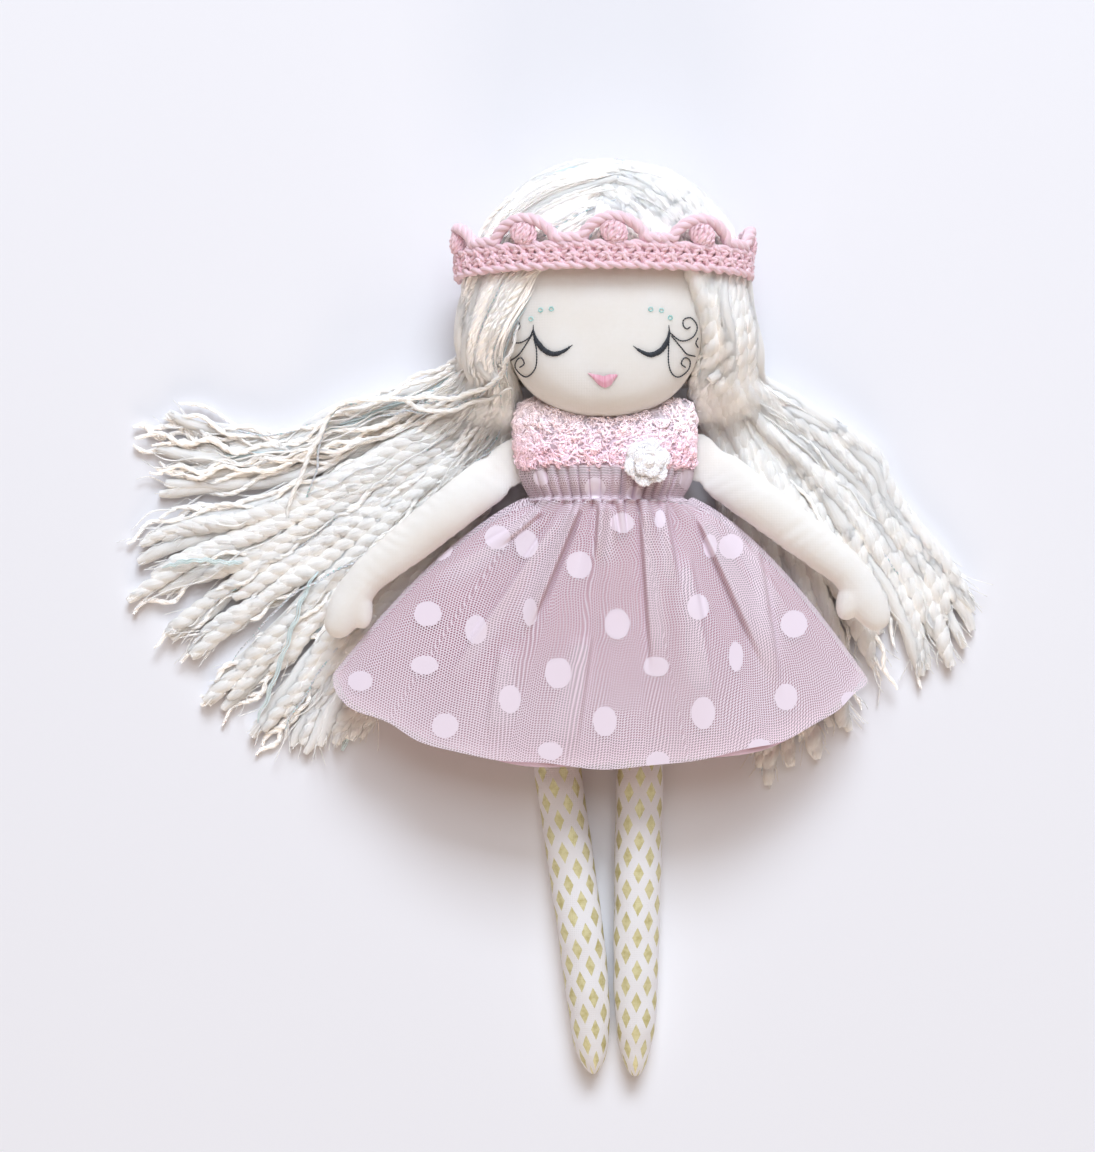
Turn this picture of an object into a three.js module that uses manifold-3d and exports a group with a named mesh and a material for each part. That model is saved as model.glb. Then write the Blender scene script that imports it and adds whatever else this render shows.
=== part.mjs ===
// A handmade cloth doll lying on its back: stuffed cotton body, yarn hair, crocheted crown,
// boucle bodice and a dotted tulle skirt over a lining. Millimetres, +Z up.
// +Y points to the top of the head, +X to the right as seen from above.
// The origin is the middle of the bodice's flattened back, on the surface that the doll lies on.
import * as THREE from "three";
import { mergeVertices } from "three/addons/utils/BufferGeometryUtils.js";
import Module from "manifold-3d";

const wasm = await Module();
wasm.setup();

// Clearances and cuts
const gap = 0.3; // between two pieces that touch
const flatDepth = 0.5; // how much of a soft form is pressed flat by its own weight
const overrun = 60; // how far a cut passes the piece it cuts
const feltThickness = 1.6; // two layers of cotton sewn flat, without stuffing

// Head and body
const head = { width: 90, height: 97, thickness: 54, x: -1, y: 57, z: 33, fullnessShare: 2.3 };
const torso = { width: 62, thickness: 35, length: 108, top: 13, z: 22.5, seamZ: 12 };

// Limbs
const arm = { length: 107, width: 20, thickness: 16.5, z: 25.5, topZ: 23, topWidth: 20 };
const wristShare = 0.74; // where the hand turns, along the arm
const armRiseShare = 0.25; // where the arm has reached its own height
const armTopShares = { seam: 0.4, lower: 0.45, upper: 0.25 }; // of the body's and the arm's width
const thumb = { length: 18, width: 12.5, root: 83 };
const wristBendDegrees = 24;
const arms = [
  { side: "left", x: -42.5, y: -11, headingDegrees: 218.2, turnShare: 1, thumbDegrees: 34 },
  { side: "right", x: 42.5, y: -9, headingDegrees: -37.2, turnShare: -1, thumbDegrees: 46 },
];
const leg = { length: 181, width: 21.6, thickness: 19.5, hipZ: 12, topWidth: 24.8 };
const skirtUnderLeg = 12.4; // height of a leg's middle where the back of the skirt lies under it
const legPressShare = 0.8; // the thinnest a leg counts as when it is laid on the surface
const hipSeamShare = 0.96; // of the body's width, the seam that holds both legs
const legs = [
  { side: "left", x: -17, leanDegrees: 3.86, bow: -6.5 },
  { side: "right", x: 14.5, leanDegrees: -0.4, bow: 1 },
];

// Hair
const hair = { width: 125, top: 120.5, nape: 14.6 };
const domeFullness = 2.4;
const napeShares = { width: 0.26, height: 0.42 }; // how much the hair narrows and sinks to the nape
const faceWindow = { width: 81, height: 72, y: 38, floorZ: 31, fullness: 2.8 };
const sideLock = { width: 24, thickness: 27, inset: 10.5, top: 72, bottom: 5 };
const fan = { x: 50, y: 12, length: 178, width: 22, height: 15, rootRadius: 27, spreadShare: 0.9 };

// Crown: it stands a little wider than the loose hair, and presses in the hair under it.
const crownLooseness = 2;
const crown = {
  width: hair.width + crownLooseness,
  depth: 66,
  x: -1,
  z: 33,
  y: 68.4,
  height: 10.2,
  thickness: 3,
};
const crownClearance = 0.8;
const crownedHair = {
  width: crown.width - 2 * (crown.thickness + crownClearance),
  thickness: crown.depth - 2 * (crown.thickness + crownClearance),
};
const crownTiltShare = 0.055;
const edging = { height: 13, thickness: 4.2, depthShare: 0.7, roundness: 0.75 };
const bobble = { width: 10, height: 7.8, thickness: 6.4 };
const scallopCount = 8;
const firstBobbleShare = 0.2384;

// Dress
const bodice = { width: 78, thickness: 47, bottom: -12.5, top: 13.5 };
const heading = { width: 71, thickness: 43, length: 10.4, wall: 1, pleat: 1.1 };
const headingShares = { flattened: 0.7, narrowed: 0.04 }; // what pleats and width lose at its bottom
const elastic = { width: 67, thickness: 41, radius: 1.1 };
const pleatCount = 22;
const skirt = {
  waistWidth: 70,
  hemWidth: 230,
  waistTopZ: 44.4,
  waistBottomZ: 0.8,
  waistEdgeZ: 22.5,
  hemTopZ: 48,
  hemBottomZ: 0.4,
  hemEdgeZ: 20.5,
  edgeRoll: 4,
  drop: 113,
  edgeDrop: 75,
  backRise: 14,
  shift: 1.5,
  hemShift: -3,
  wall: 0.8,
  fold: 2.6,
};
const liningInset = 1.7; // from the outside of the tulle to the outside of the lining
const liningHemShare = 0.985; // where the lining ends, down the skirt
// The skirt's soft folds: how many go round it, where they start, and each one's part of the height.
const foldShares = [
  { count: 7, start: 0.8, height: 0.6 },
  { count: 11, start: 2, height: 0.4 },
];
const foldFullShare = 0.45; // how far down the skirt its folds reach their height
const flower = { width: 20.4, height: 7.6, x: 16.4, y: -10.4, leanDegrees: 13, turnDegrees: 17 };

// Materials
const cloth = (color, roughness = 0.9) =>
  new THREE.MeshStandardMaterial({ color, roughness, metalness: 0 });
const materials = {
  cotton: cloth(0xf5eee1),
  print: cloth(0xeeebe6),
  yarn: cloth(0xf6f3ec),
  crochetPink: cloth(0xe1a8b7),
  crochetWhite: cloth(0xf7f5f5),
  boucle: cloth(0xe6c8d4),
  tulle: cloth(0xd7bec8, 0.7),
  lining: cloth(0xd7a5af),
};

const degrees = (angle) => (angle * Math.PI) / 180;
const vector = (x, y, z) => new THREE.Vector3(x, y, z);
const mix = (a, b, share) => a + (b - a) * share;
const X = vector(1, 0, 0);
const Y = vector(0, 1, 0);
const Z = vector(0, 0, 1);

// A table of numbers read as smooth curves: each column passes through all its rows.
function splineRows(rows, steps) {
  const at = (i) => rows[Math.min(Math.max(i, 0), rows.length - 1)];
  return Array.from({ length: steps + 1 }, (_, k) => {
    const place = (k / steps) * (rows.length - 1);
    const i = Math.min(Math.floor(place), rows.length - 2);
    const t = place - i;
    return at(i).map((_, column) => {
      const [a, b, c, d] = [-1, 0, 1, 2].map((step) => at(i + step)[column]);
      const slopeIn = (c - a) / 2;
      const slopeOut = (d - b) / 2;
      const bend = 2 * b - 2 * c + slopeIn + slopeOut;
      return b + t * (slopeIn + t * (3 * (c - b) - 2 * slopeIn - slopeOut + t * bend));
    });
  });
}

// One ring of a soft form: an oval, squarer where fullness is over 2.
function ovalRing(centre, across, up, halfWidth, halfHeight, sides, fullness = 2) {
  return Array.from({ length: sides }, (_, i) => {
    const angle = (2 * Math.PI * i) / sides;
    const round = (value) => Math.sign(value) * Math.abs(value) ** (2 / fullness);
    return centre
      .clone()
      .addScaledVector(across, round(Math.cos(angle)) * halfWidth)
      .addScaledVector(up, round(Math.sin(angle)) * halfHeight);
  });
}

// A closed surface over rings of equal count: capped at both ends, or joined round into a loop.
function loft(rings, loop = false) {
  const sides = rings[0].length;
  const points = rings.flat();
  const faces = [];
  const rows = loop ? rings.length : rings.length - 1;
  for (let r = 0; r < rows; r++) {
    for (let s = 0; s < sides; s++) {
      const a = r * sides + s;
      const b = r * sides + ((s + 1) % sides);
      const c = ((r + 1) % rings.length) * sides + s;
      const d = ((r + 1) % rings.length) * sides + ((s + 1) % sides);
      faces.push([a, b, d], [a, d, c]);
    }
  }
  if (!loop) {
    [0, rings.length - 1].forEach((r, end) => {
      const middle = points.length;
      points.push(rings[r].reduce((sum, p) => sum.add(p), vector(0, 0, 0)).divideScalar(sides));
      for (let s = 0; s < sides; s++) {
        const a = r * sides + s;
        const b = r * sides + ((s + 1) % sides);
        faces.push(end ? [middle, a, b] : [middle, b, a]);
      }
    });
  }
  const volume = faces.reduce((sum, [a, b, c]) => {
    return sum + points[a].dot(points[b].clone().cross(points[c]));
  }, 0);
  const outward = volume < 0 ? faces.map(([a, b, c]) => [a, c, b]) : faces;
  return new THREE.BufferGeometry().setFromPoints(points).setIndex(outward.flat());
}

// A geometry as a solid that can be joined and cut.
function solid(geometry) {
  const bare = geometry.clone();
  bare.deleteAttribute("normal");
  bare.deleteAttribute("uv");
  const merged = mergeVertices(bare);
  return new wasm.Manifold(
    new wasm.Mesh({
      numProp: 3,
      vertProperties: merged.attributes.position.array,
      triVerts: new Uint32Array(merged.index.array),
    }),
  );
}

function geometryOf(body) {
  const { vertProperties, triVerts } = body.getMesh();
  return new THREE.BufferGeometry()
    .setAttribute("position", new THREE.BufferAttribute(vertProperties, 3))
    .setIndex(new THREE.BufferAttribute(triVerts, 1));
}

const join = (bodies) => bodies.reduce((whole, body) => whole.add(body));
const cut = (body, tools) => tools.reduce((rest, tool) => rest.subtract(tool), body);

// The surface that the doll lies on, as a tool that presses soft forms flat.
const restingSurface = (() => {
  const size = skirt.hemWidth + leg.length + overrun;
  const slab = new THREE.BoxGeometry(2 * size, 2 * size, overrun);
  return solid(slab.translate(0, 0, -overrun / 2));
})();

function headForm(extra) {
  const steps = 18;
  const rings = Array.from({ length: steps + 1 }, (_, i) => {
    const rise = Math.sin(degrees(mix(-84, 84, i / steps)));
    const swell = (1 - Math.abs(rise) ** head.fullnessShare) ** (1 / head.fullnessShare);
    const centre = vector(head.x, head.y + rise * (head.height / 2 + extra), head.z);
    const halfWidth = (head.width / 2) * swell + extra;
    return ovalRing(centre, X, Z, halfWidth, (head.thickness / 2) * swell + extra, 24);
  });
  return solid(loft(rings));
}

// Rows: place from the neck to the seam, width, thickness and height, as shares.
const torsoShares = [
  [0, 0.42, 0.6, 1],
  [0.06, 0.42, 0.62, 1],
  [0.1, 0.62, 0.74, 1],
  [0.15, 0.92, 0.87, 1],
  [0.22, 1.02, 0.95, 1],
  [0.33, 0.93, 1, 1],
  [0.45, 0.89, 1, 1],
  [0.6, 0.95, 1, 1],
  [0.75, 1.02, 0.96, 1],
  [0.86, 1.03, 0.8, 0.85],
  [0.93, 1, 0.53, 0.55],
  [0.975, 0.97, 0.25, 0.2],
  [1, 0.96, 0, 0],
];
function torsoForm(extra) {
  const rings = splineRows(torsoShares, 20).map(([place, width, thickness, height]) => {
    const y = torso.top - place * torso.length;
    const centre = vector(0, y, mix(torso.seamZ, torso.z, height));
    const halfThickness = Math.max((thickness * torso.thickness) / 2, feltThickness / 2);
    const halfWidth = (width * torso.width) / 2 + extra;
    return ovalRing(centre, X, Z, halfWidth, halfThickness + extra, 20, 2.2);
  });
  return solid(loft(rings));
}
const hipY = torso.top - torso.length - feltThickness / 2 - gap;

// Rows: place along the arm, width and thickness, as shares.
const armShares = [
  [0, 1, 0.1],
  [0.05, 1.02, 0.2],
  [0.12, 1.08, 0.62],
  [0.22, 1.06, 0.92],
  [0.4, 1.02, 1],
  [0.6, 0.93, 0.97],
  [0.76, 0.86, 0.9],
  [0.87, 0.88, 0.88],
  [0.95, 0.72, 0.7],
  [0.985, 0.48, 0.48],
  [1, 0.2, 0.2],
];
const thumbShares = [
  [0, 0.9, 0.9],
  [0.4, 1, 1],
  [0.75, 0.86, 0.8],
  [0.93, 0.55, 0.5],
  [1, 0.2, 0.2],
];

// Points and directions of one arm, measured from its shoulder.
function armFrame({ x, y, headingDegrees, turnShare }) {
  const wrist = wristShare * arm.length;
  const bend = turnShare * degrees(wristBendDegrees);
  const start = degrees(headingDegrees);
  return (along) => {
    const past = Math.max(along - wrist, 0);
    const angle = start + (past > 0 ? bend : 0);
    const reach = Math.min(along, wrist);
    const px = x + reach * Math.cos(start) + past * Math.cos(angle);
    const py = y + reach * Math.sin(start) + past * Math.sin(angle);
    const across = vector(-Math.sin(angle), Math.cos(angle), 0);
    const rise = Math.min(along / (armRiseShare * arm.length), 1);
    return { point: vector(px, py, mix(arm.topZ, arm.z, rise)), across, angle };
  };
}

function armForm(side) {
  const frame = armFrame(side);
  const limb = splineRows(armShares, 18).map(([place, width, thickness]) => {
    const { point, across } = frame(place * arm.length);
    const halfThickness = (thickness * arm.thickness) / 2;
    return ovalRing(point, across, Z, (width * arm.width) / 2, halfThickness, 14);
  });
  const root = frame(thumb.root);
  const angle = root.angle + side.turnShare * degrees(side.thumbDegrees);
  const forward = vector(Math.cos(angle), Math.sin(angle), 0);
  const lobe = splineRows(thumbShares, 7).map(([place, width, thickness]) => {
    const centre = root.point.clone().addScaledVector(forward, place * thumb.length);
    const across = vector(-forward.y, forward.x, 0);
    const half = thumb.width / 2;
    return ovalRing(centre, across, Z, width * half, thickness * half, 10);
  });
  return join([solid(loft(limb)), solid(loft(lobe))]);
}

// The flat top of an arm between the body's side seam and the fold.
function armTopForm(side, extra) {
  const { point, across } = armFrame(side)(0);
  const back = feltThickness / 2 + gap - extra;
  const heading = degrees(side.headingDegrees);
  const forward = vector(Math.cos(heading), Math.sin(heading), 0);
  const foldEnds = [1, -1].map((end) => {
    const reach = end * (arm.topWidth / 2 + extra);
    return point.clone().addScaledVector(across, reach).addScaledVector(forward, -back);
  });
  foldEnds.sort((a, b) => b.y - a.y);
  const seamX = Math.sign(side.x) * armTopShares.seam * torso.width;
  const outline = new THREE.Shape([
    new THREE.Vector2(foldEnds[0].x, foldEnds[0].y),
    new THREE.Vector2(foldEnds[1].x, foldEnds[1].y),
    new THREE.Vector2(seamX, foldEnds[1].y + armTopShares.lower * arm.topWidth - extra),
    new THREE.Vector2(seamX, foldEnds[0].y + armTopShares.upper * arm.topWidth + extra),
  ]);
  const thickness = feltThickness + 2 * extra;
  const plate = new THREE.ExtrudeGeometry(outline, { depth: thickness, bevelEnabled: false });
  return cut(solid(plate.translate(0, 0, arm.topZ - thickness / 2)), [torsoForm(gap - extra)]);
}

// Rows: place along the leg, width, thickness, sideways bow and height, as shares.
const legShares = [
  [0, 1, 0.08, 0, 0],
  [0.05, 1, 0.13, 0.35, 0],
  [0.12, 1.02, 0.5, 0.8, 0],
  [0.2, 1.01, 0.82, 1, 0],
  [0.27, 1, 0.97, 1, 0.5],
  [0.34, 1, 1, 0.85, 1],
  [0.46, 1, 1, 0.6, 1],
  [0.6, 0.99, 1, 0.3, 1],
  [0.74, 0.95, 0.99, 0.08, 1],
  [0.84, 0.89, 0.95, 0, 1],
  [0.91, 0.77, 0.83, 0, 1],
  [0.96, 0.56, 0.6, 0, 1],
  [0.99, 0.3, 0.3, 0, 1],
  [1, 0.12, 0.12, 0, 1],
];
function legForm(side) {
  const lean = degrees(side.leanDegrees);
  const down = vector(Math.sin(lean), -Math.cos(lean), 0);
  const across = vector(Math.cos(lean), Math.sin(lean), 0);
  const rings = splineRows(legShares, 19).map(([place, width, thickness, bow, height]) => {
    const half = (thickness * leg.thickness) / 2;
    const onSurface = Math.max(thickness, legPressShare) * (leg.thickness / 2) - flatDepth;
    const centre = vector(side.x, hipY, mix(skirtUnderLeg, onSurface, height));
    centre.addScaledVector(down, place * leg.length);
    centre.addScaledVector(across, bow * side.bow);
    return ovalRing(centre, across, Z, (width * leg.width) / 2, half, 13);
  });
  return cut(solid(loft(rings)), [hipDisc(side, leg.topWidth / 2 + gap, overrun), restingSurface]);
}

// A disc about the point where a leg turns sideways.
function hipDisc(side, radius, thickness) {
  const disc = new THREE.CylinderGeometry(radius, radius, thickness, 24);
  disc.rotateX(Math.PI / 2);
  return solid(disc.translate(side.x, hipY, leg.hipZ));
}

// The legs' flat tops, caught side by side in the seam at the bottom of the body.
function legTopsForm() {
  const seamLength = hipSeamShare * torso.width;
  const fold = new THREE.CylinderGeometry(feltThickness / 2, feltThickness / 2, seamLength, 12);
  fold.rotateZ(Math.PI / 2).translate(0, hipY, leg.hipZ);
  const strip = new THREE.BoxGeometry(seamLength, feltThickness, feltThickness);
  strip.translate(0, hipY - feltThickness / 2, leg.hipZ);
  const discs = legs.map((side) => hipDisc(side, leg.topWidth / 2, feltThickness));
  const above = new THREE.BoxGeometry(overrun * 2, overrun, overrun);
  above.translate(0, hipY + overrun / 2, leg.hipZ);
  const tops = cut(join([...discs, solid(strip)]), [solid(above)]);
  return tops.add(solid(fold));
}

// Rows down a side lock: sideways place, place between its ends, height, width and thickness, as shares.
const sideLockShares = [
  [0.93, 1, 1.15, 0.7, 0.7],
  [0.96, 0.66, 1.06, 1, 1],
  [0.98, 0.33, 0.94, 1, 0.9],
  [1.01, 0.1, 0.67, 0.8, 0.8],
  [1.03, 0, 0.58, 0.4, 0.45],
];

// Hair laid over the head: full below the crown, pressed in above it.
function hairCapForm() {
  const crownBack = crown.y - crownTiltShare * (crown.depth / 2) - gap;
  const blunt = 0.003; // keeps the last ring open
  const pressed = (hair.width - crownedHair.width) / 2;
  const lower = Array.from({ length: 10 }, (_, i) => mix(hair.nape, crownBack - pressed, i / 9));
  const upper = Array.from({ length: 9 }, (_, i) => mix(crownBack, hair.top, i / 8));
  const rings = [...lower, ...upper].map((y) => {
    const above = Math.max((y - head.y) / (hair.top - head.y), 0);
    const below = Math.max((head.y - y) / (head.y - hair.nape), 0);
    const dome = Math.max(1 - above ** domeFullness, blunt) ** (1 / domeFullness);
    const swell = dome * (1 - napeShares.width * below ** 2);
    const width = y >= crownBack ? crownedHair.width : hair.width;
    const halfThickness = (crownedHair.thickness / 2) * dome;
    const bottom = y >= crownBack ? crown.z - halfThickness : -flatDepth;
    const top = crown.z + halfThickness * (1 - napeShares.height * below ** 2);
    const centre = vector(crown.x, y, (top + bottom) / 2);
    return ovalRing(centre, X, Z, (width / 2) * swell, (top - bottom) / 2, 26);
  });
  const sides = [-1, 1].map((side) => {
    const fromMiddle = side * (hair.width / 2 - sideLock.inset);
    const ringsOfLock = splineRows(sideLockShares, 8).map(([x, y, z, width, thickness]) => {
      const along = mix(sideLock.bottom, sideLock.top, y);
      const centre = vector(crown.x + x * fromMiddle, along, z * head.z);
      const halfWidth = (width * sideLock.width) / 2;
      return ovalRing(centre, X, Z, halfWidth, (thickness * sideLock.thickness) / 2, 12);
    });
    return solid(loft(ringsOfLock));
  });
  const whole = join([solid(loft(rings)), ...sides]);
  const roots = [-1, 1].map((side) => {
    const radius = fan.rootRadius + gap;
    const rootTop = fan.height - flatDepth + gap;
    const disc = new THREE.CylinderGeometry(radius, radius, rootTop, 24);
    disc.rotateX(Math.PI / 2);
    return solid(disc.translate(side * fan.x, fan.y, rootTop / 2));
  });
  const tools = [headForm(gap), bodiceBlank(gap), faceOpening(), ...roots, restingSurface];
  const shell = cut(whole, tools).decompose();
  return shell.reduce((largest, body) => (body.volume() > largest.volume() ? body : largest));
}

// The front of the head that the hair leaves free, from the hairline down.
function faceOpening() {
  const centre = (z) => vector(head.x, faceWindow.y, z);
  const ring = (z) => {
    const { width, height, fullness } = faceWindow;
    return ovalRing(centre(z), X, Y, width / 2, height / 2, 28, fullness);
  };
  return solid(loft([ring(faceWindow.floorZ), ring(faceWindow.floorZ + overrun)]));
}

// Each length of hair fans out into locks: direction, reach, sideways bulge and height.
const fans = [
  {
    side: "left",
    turnShare: -1,
    locks: [
      { degrees: 178, reachShare: 0.85, bulgeShare: 0.06, heightShare: 1 },
      { degrees: 192, reachShare: 0.94, bulgeShare: 0.04, heightShare: 1 },
      { degrees: 204, reachShare: 0.97, bulgeShare: 0.03, heightShare: 1 },
      { degrees: 216, reachShare: 0.99, bulgeShare: 0.03, heightShare: 1 },
      { degrees: 227, reachShare: 1, bulgeShare: 0.03, heightShare: 1 },
      { degrees: 237, reachShare: 0.97, bulgeShare: 0.03, heightShare: 0.9 },
      { degrees: 245, reachShare: 0.88, bulgeShare: 0.03, heightShare: 0.75 },
    ],
  },
  {
    side: "right",
    turnShare: 1,
    locks: [
      { degrees: -30, reachShare: 0.6, bulgeShare: 0.2, heightShare: 1 },
      { degrees: -36, reachShare: 0.79, bulgeShare: 0.17, heightShare: 1 },
      { degrees: -44, reachShare: 0.82, bulgeShare: 0.12, heightShare: 1 },
      { degrees: -54, reachShare: 0.83, bulgeShare: 0.08, heightShare: 1 },
      { degrees: -65, reachShare: 0.82, bulgeShare: 0.05, heightShare: 0.8 },
      { degrees: -78, reachShare: 0.91, bulgeShare: 0.02, heightShare: 0.5 },
    ],
  },
];
// Rows: place along a lock, width and height, as shares.
const lockShares = [
  [0, 0.6, 1],
  [0.08, 0.95, 1],
  [0.3, 1.05, 1],
  [0.6, 1, 0.85],
  [0.85, 0.9, 0.62],
  [0.97, 0.62, 0.45],
  [1, 0.25, 0.25],
];
function fanForm({ turnShare, locks }) {
  const pivot = vector(turnShare * fan.x, fan.y, 0);
  const bodies = locks.map((lock, i) => {
    const direction = vector(Math.cos(degrees(lock.degrees)), Math.sin(degrees(lock.degrees)), 0);
    const outer = vector(-turnShare * direction.y, turnShare * direction.x, 0);
    const spread = (0.5 - i / (locks.length - 1)) * fan.spreadShare * fan.rootRadius;
    const reach = lock.reachShare * fan.length;
    const rings = splineRows(lockShares, 8).map(([place, width, height]) => {
      const halfHeight = (height * lock.heightShare * fan.height) / 2;
      const bulge = 4 * place * (1 - place) * lock.bulgeShare * reach;
      const centre = pivot.clone().addScaledVector(direction, place * reach);
      centre.addScaledVector(outer, bulge + spread * (1 - place));
      centre.z = halfHeight - flatDepth;
      return ovalRing(centre, outer, Z, (width * fan.width) / 2, halfHeight, 8);
    });
    return solid(loft(rings));
  });
  return cut(join(bodies), [restingSurface]);
}

// The crown's oval: a point at a share of the way round, moved outwards and along the head.
const crownShareTable = (() => {
  const steps = 720;
  const at = (i) => {
    const angle = (2 * Math.PI * i) / steps;
    return [Math.cos(angle) * crown.width, Math.sin(angle) * crown.depth];
  };
  const lengths = [0];
  for (let i = 1; i <= steps; i++) {
    const [x0, z0] = at(i - 1);
    const [x1, z1] = at(i);
    lengths.push(lengths[i - 1] + Math.hypot(x1 - x0, z1 - z0));
  }
  return lengths.map((length) => length / lengths[steps]);
})();
function crownPoint(share, outwards, along) {
  const wrapped = ((share % 1) + 1) % 1;
  const i = crownShareTable.findIndex((value) => value > wrapped);
  const [low, high] = [crownShareTable[i - 1], crownShareTable[i]];
  const steps = crownShareTable.length - 1;
  const angle = (2 * Math.PI * (i - 1 + (wrapped - low) / (high - low))) / steps;
  const halfWidth = (crown.width - crown.thickness) / 2;
  const halfDepth = (crown.depth - crown.thickness) / 2;
  const normal = vector(Math.cos(angle) / halfWidth, 0, Math.sin(angle) / halfDepth).normalize();
  const point = vector(Math.cos(angle) * halfWidth, 0, Math.sin(angle) * halfDepth);
  point.addScaledVector(normal, outwards);
  point.y = crown.y + along + crownTiltShare * point.z;
  return point.add(vector(crown.x, 0, crown.z));
}

// A closed band round the head, thicker along its rows of stitches.
const bandShares = [
  [0, -0.5],
  [0.12, 0.4],
  [0.25, 0.5],
  [0.38, 0.3],
  [0.5, 0.18],
  [0.62, 0.3],
  [0.75, 0.5],
  [0.88, 0.4],
  [1, -0.5],
];
function crownBandForm() {
  const steps = 48;
  const rings = Array.from({ length: steps }, (_, i) => {
    return bandShares.map(([along, outwards]) => {
      return crownPoint(i / steps, outwards * crown.thickness, along * crown.height);
    });
  });
  return solid(loft(rings, true));
}

// The scalloped edge: one cord that arches over each bobble and returns to the band.
function crownEdgingForm() {
  const stepsPerScallop = 8;
  const steps = stepsPerScallop * scallopCount;
  const radius = edging.thickness / 2;
  const base = crown.height + gap + radius;
  const rise = edging.height - edging.thickness;
  const line = (i) => {
    const share = firstBobbleShare + (i / stepsPerScallop - 0.5) / scallopCount;
    const place = (i % stepsPerScallop) / stepsPerScallop;
    return { share, along: base + rise * Math.sin(Math.PI * place) ** edging.roundness };
  };
  const rings = Array.from({ length: steps }, (_, i) => {
    const { share, along } = line(i);
    const before = crownPoint(line(i + steps - 1).share, 0, line(i + steps - 1).along);
    const after = crownPoint(line(i + 1).share, 0, line(i + 1).along);
    const forward = after.sub(before).normalize();
    const centre = crownPoint(share, 0, along);
    const outward = crownPoint(share, crown.thickness, along).sub(centre).normalize();
    const up = forward.clone().cross(outward).normalize();
    return ovalRing(centre, outward, up, edging.depthShare * radius, radius, 6);
  });
  return solid(loft(rings, true));
}

function bobbleForm(i) {
  const share = firstBobbleShare + i / scallopCount;
  const along = crown.height + gap + bobble.height / 2;
  const centre = crownPoint(share, 0, along);
  const outward = crownPoint(share, crown.thickness, along).sub(centre).normalize();
  const ball = new THREE.SphereGeometry(0.5, 8, 7);
  ball.scale(bobble.width, bobble.height, bobble.thickness);
  ball.applyQuaternion(new THREE.Quaternion().setFromUnitVectors(Z, outward));
  return cut(solid(ball.translate(centre.x, centre.y, centre.z)), [restingSurface]);
}

// Rows: place along the bodice from its hem to the collar, and size, as shares.
const bodiceShares = [
  [0, 0.93],
  [0.08, 0.98],
  [0.3, 1],
  [0.5, 0.99],
  [0.75, 1],
  [0.93, 0.95],
  [1, 0.86],
];
const bodiceFullness = 2.3;
function bodiceTopAt(x) {
  const across = Math.abs(x) / (bodice.width / 2);
  const rise = (1 - across ** bodiceFullness) ** (1 / bodiceFullness);
  return (bodice.thickness / 2) * (1 + rise) - flatDepth;
}
function bodiceBlank(extra) {
  const z = bodice.thickness / 2 - flatDepth;
  const rings = splineRows(bodiceShares, 7).map(([place, size], i, all) => {
    const end = i === 0 ? -extra : i === all.length - 1 ? extra : 0;
    const centre = vector(0, mix(bodice.bottom, bodice.top, place) + end, z);
    const halfWidth = (size * bodice.width) / 2 + extra;
    const halfThickness = (size * bodice.thickness) / 2 + extra;
    return ovalRing(centre, X, Z, halfWidth, halfThickness, 26, bodiceFullness);
  });
  return solid(loft(rings));
}
function bodiceForm() {
  const armholes = arms.map((side) => armTopForm(side, gap));
  const folds = arms.map((side) => hingeClearance(side));
  const tools = [torsoForm(gap), headForm(gap), ...armholes, ...folds, restingSurface];
  return cut(bodiceBlank(0), tools);
}

// The space that an arm's flat top sweeps close to the fold.
function hingeClearance(side) {
  const { point, across } = armFrame(side)(0);
  const radius = feltThickness / 2 + gap;
  const tool = new THREE.CylinderGeometry(radius, radius, arm.topWidth + 2 * gap, 12);
  tool.applyQuaternion(new THREE.Quaternion().setFromUnitVectors(Y, across));
  return solid(tool.translate(point.x, point.y, point.z));
}

// A closed tube of cloth: its outside from top to hem, then its inside back up.
function clothTube(ringAt, steps, wall) {
  const down = Array.from({ length: steps + 1 }, (_, i) => ringAt(i / steps, 0));
  const up = Array.from({ length: steps + 1 }, (_, i) => ringAt(1 - i / steps, wall));
  return solid(loft([...down, ...up], true));
}

// The ruffled heading that stands above the gathering line.
function headingForm() {
  const top = bodice.bottom - gap;
  const middleZ = heading.thickness / 2 + gap + heading.pleat;
  const steps = pleatCount * 3;
  const ringAt = (place, inset) => {
    return Array.from({ length: steps }, (_, i) => {
      const angle = (2 * Math.PI * i) / steps;
      const flattening = 1 - headingShares.flattened * place;
      const pleat = heading.pleat * Math.cos((2 * Math.PI * i) / 3) * flattening;
      const narrowing = 1 - headingShares.narrowed * place;
      const x = Math.cos(angle) * ((narrowing * heading.width) / 2 + pleat - inset);
      const z = Math.sin(angle) * ((narrowing * heading.thickness) / 2 + pleat - inset);
      return vector(x, top - place * heading.length, middleZ + z);
    });
  };
  const tools = [...arms.map((side) => armTopForm(side, gap)), ...arms.map(hingeClearance)];
  return cut(clothTube(ringAt, 2, heading.wall), tools);
}
const elasticY = bodice.bottom - gap - heading.length - gap - elastic.radius;
const skirtTop = elasticY - elastic.radius - gap;

function elasticForm() {
  const steps = 40;
  const rings = Array.from({ length: steps }, (_, i) => {
    const angle = (2 * Math.PI * i) / steps;
    const outward = vector(Math.cos(angle), 0, Math.sin(angle));
    const centre = vector(
      (outward.x * elastic.width) / 2,
      elasticY,
      skirt.waistEdgeZ + (outward.z * elastic.thickness) / 2,
    );
    return ovalRing(centre, outward, Y, elastic.radius, elastic.radius, 6);
  });
  return solid(loft(rings, true));
}

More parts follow.
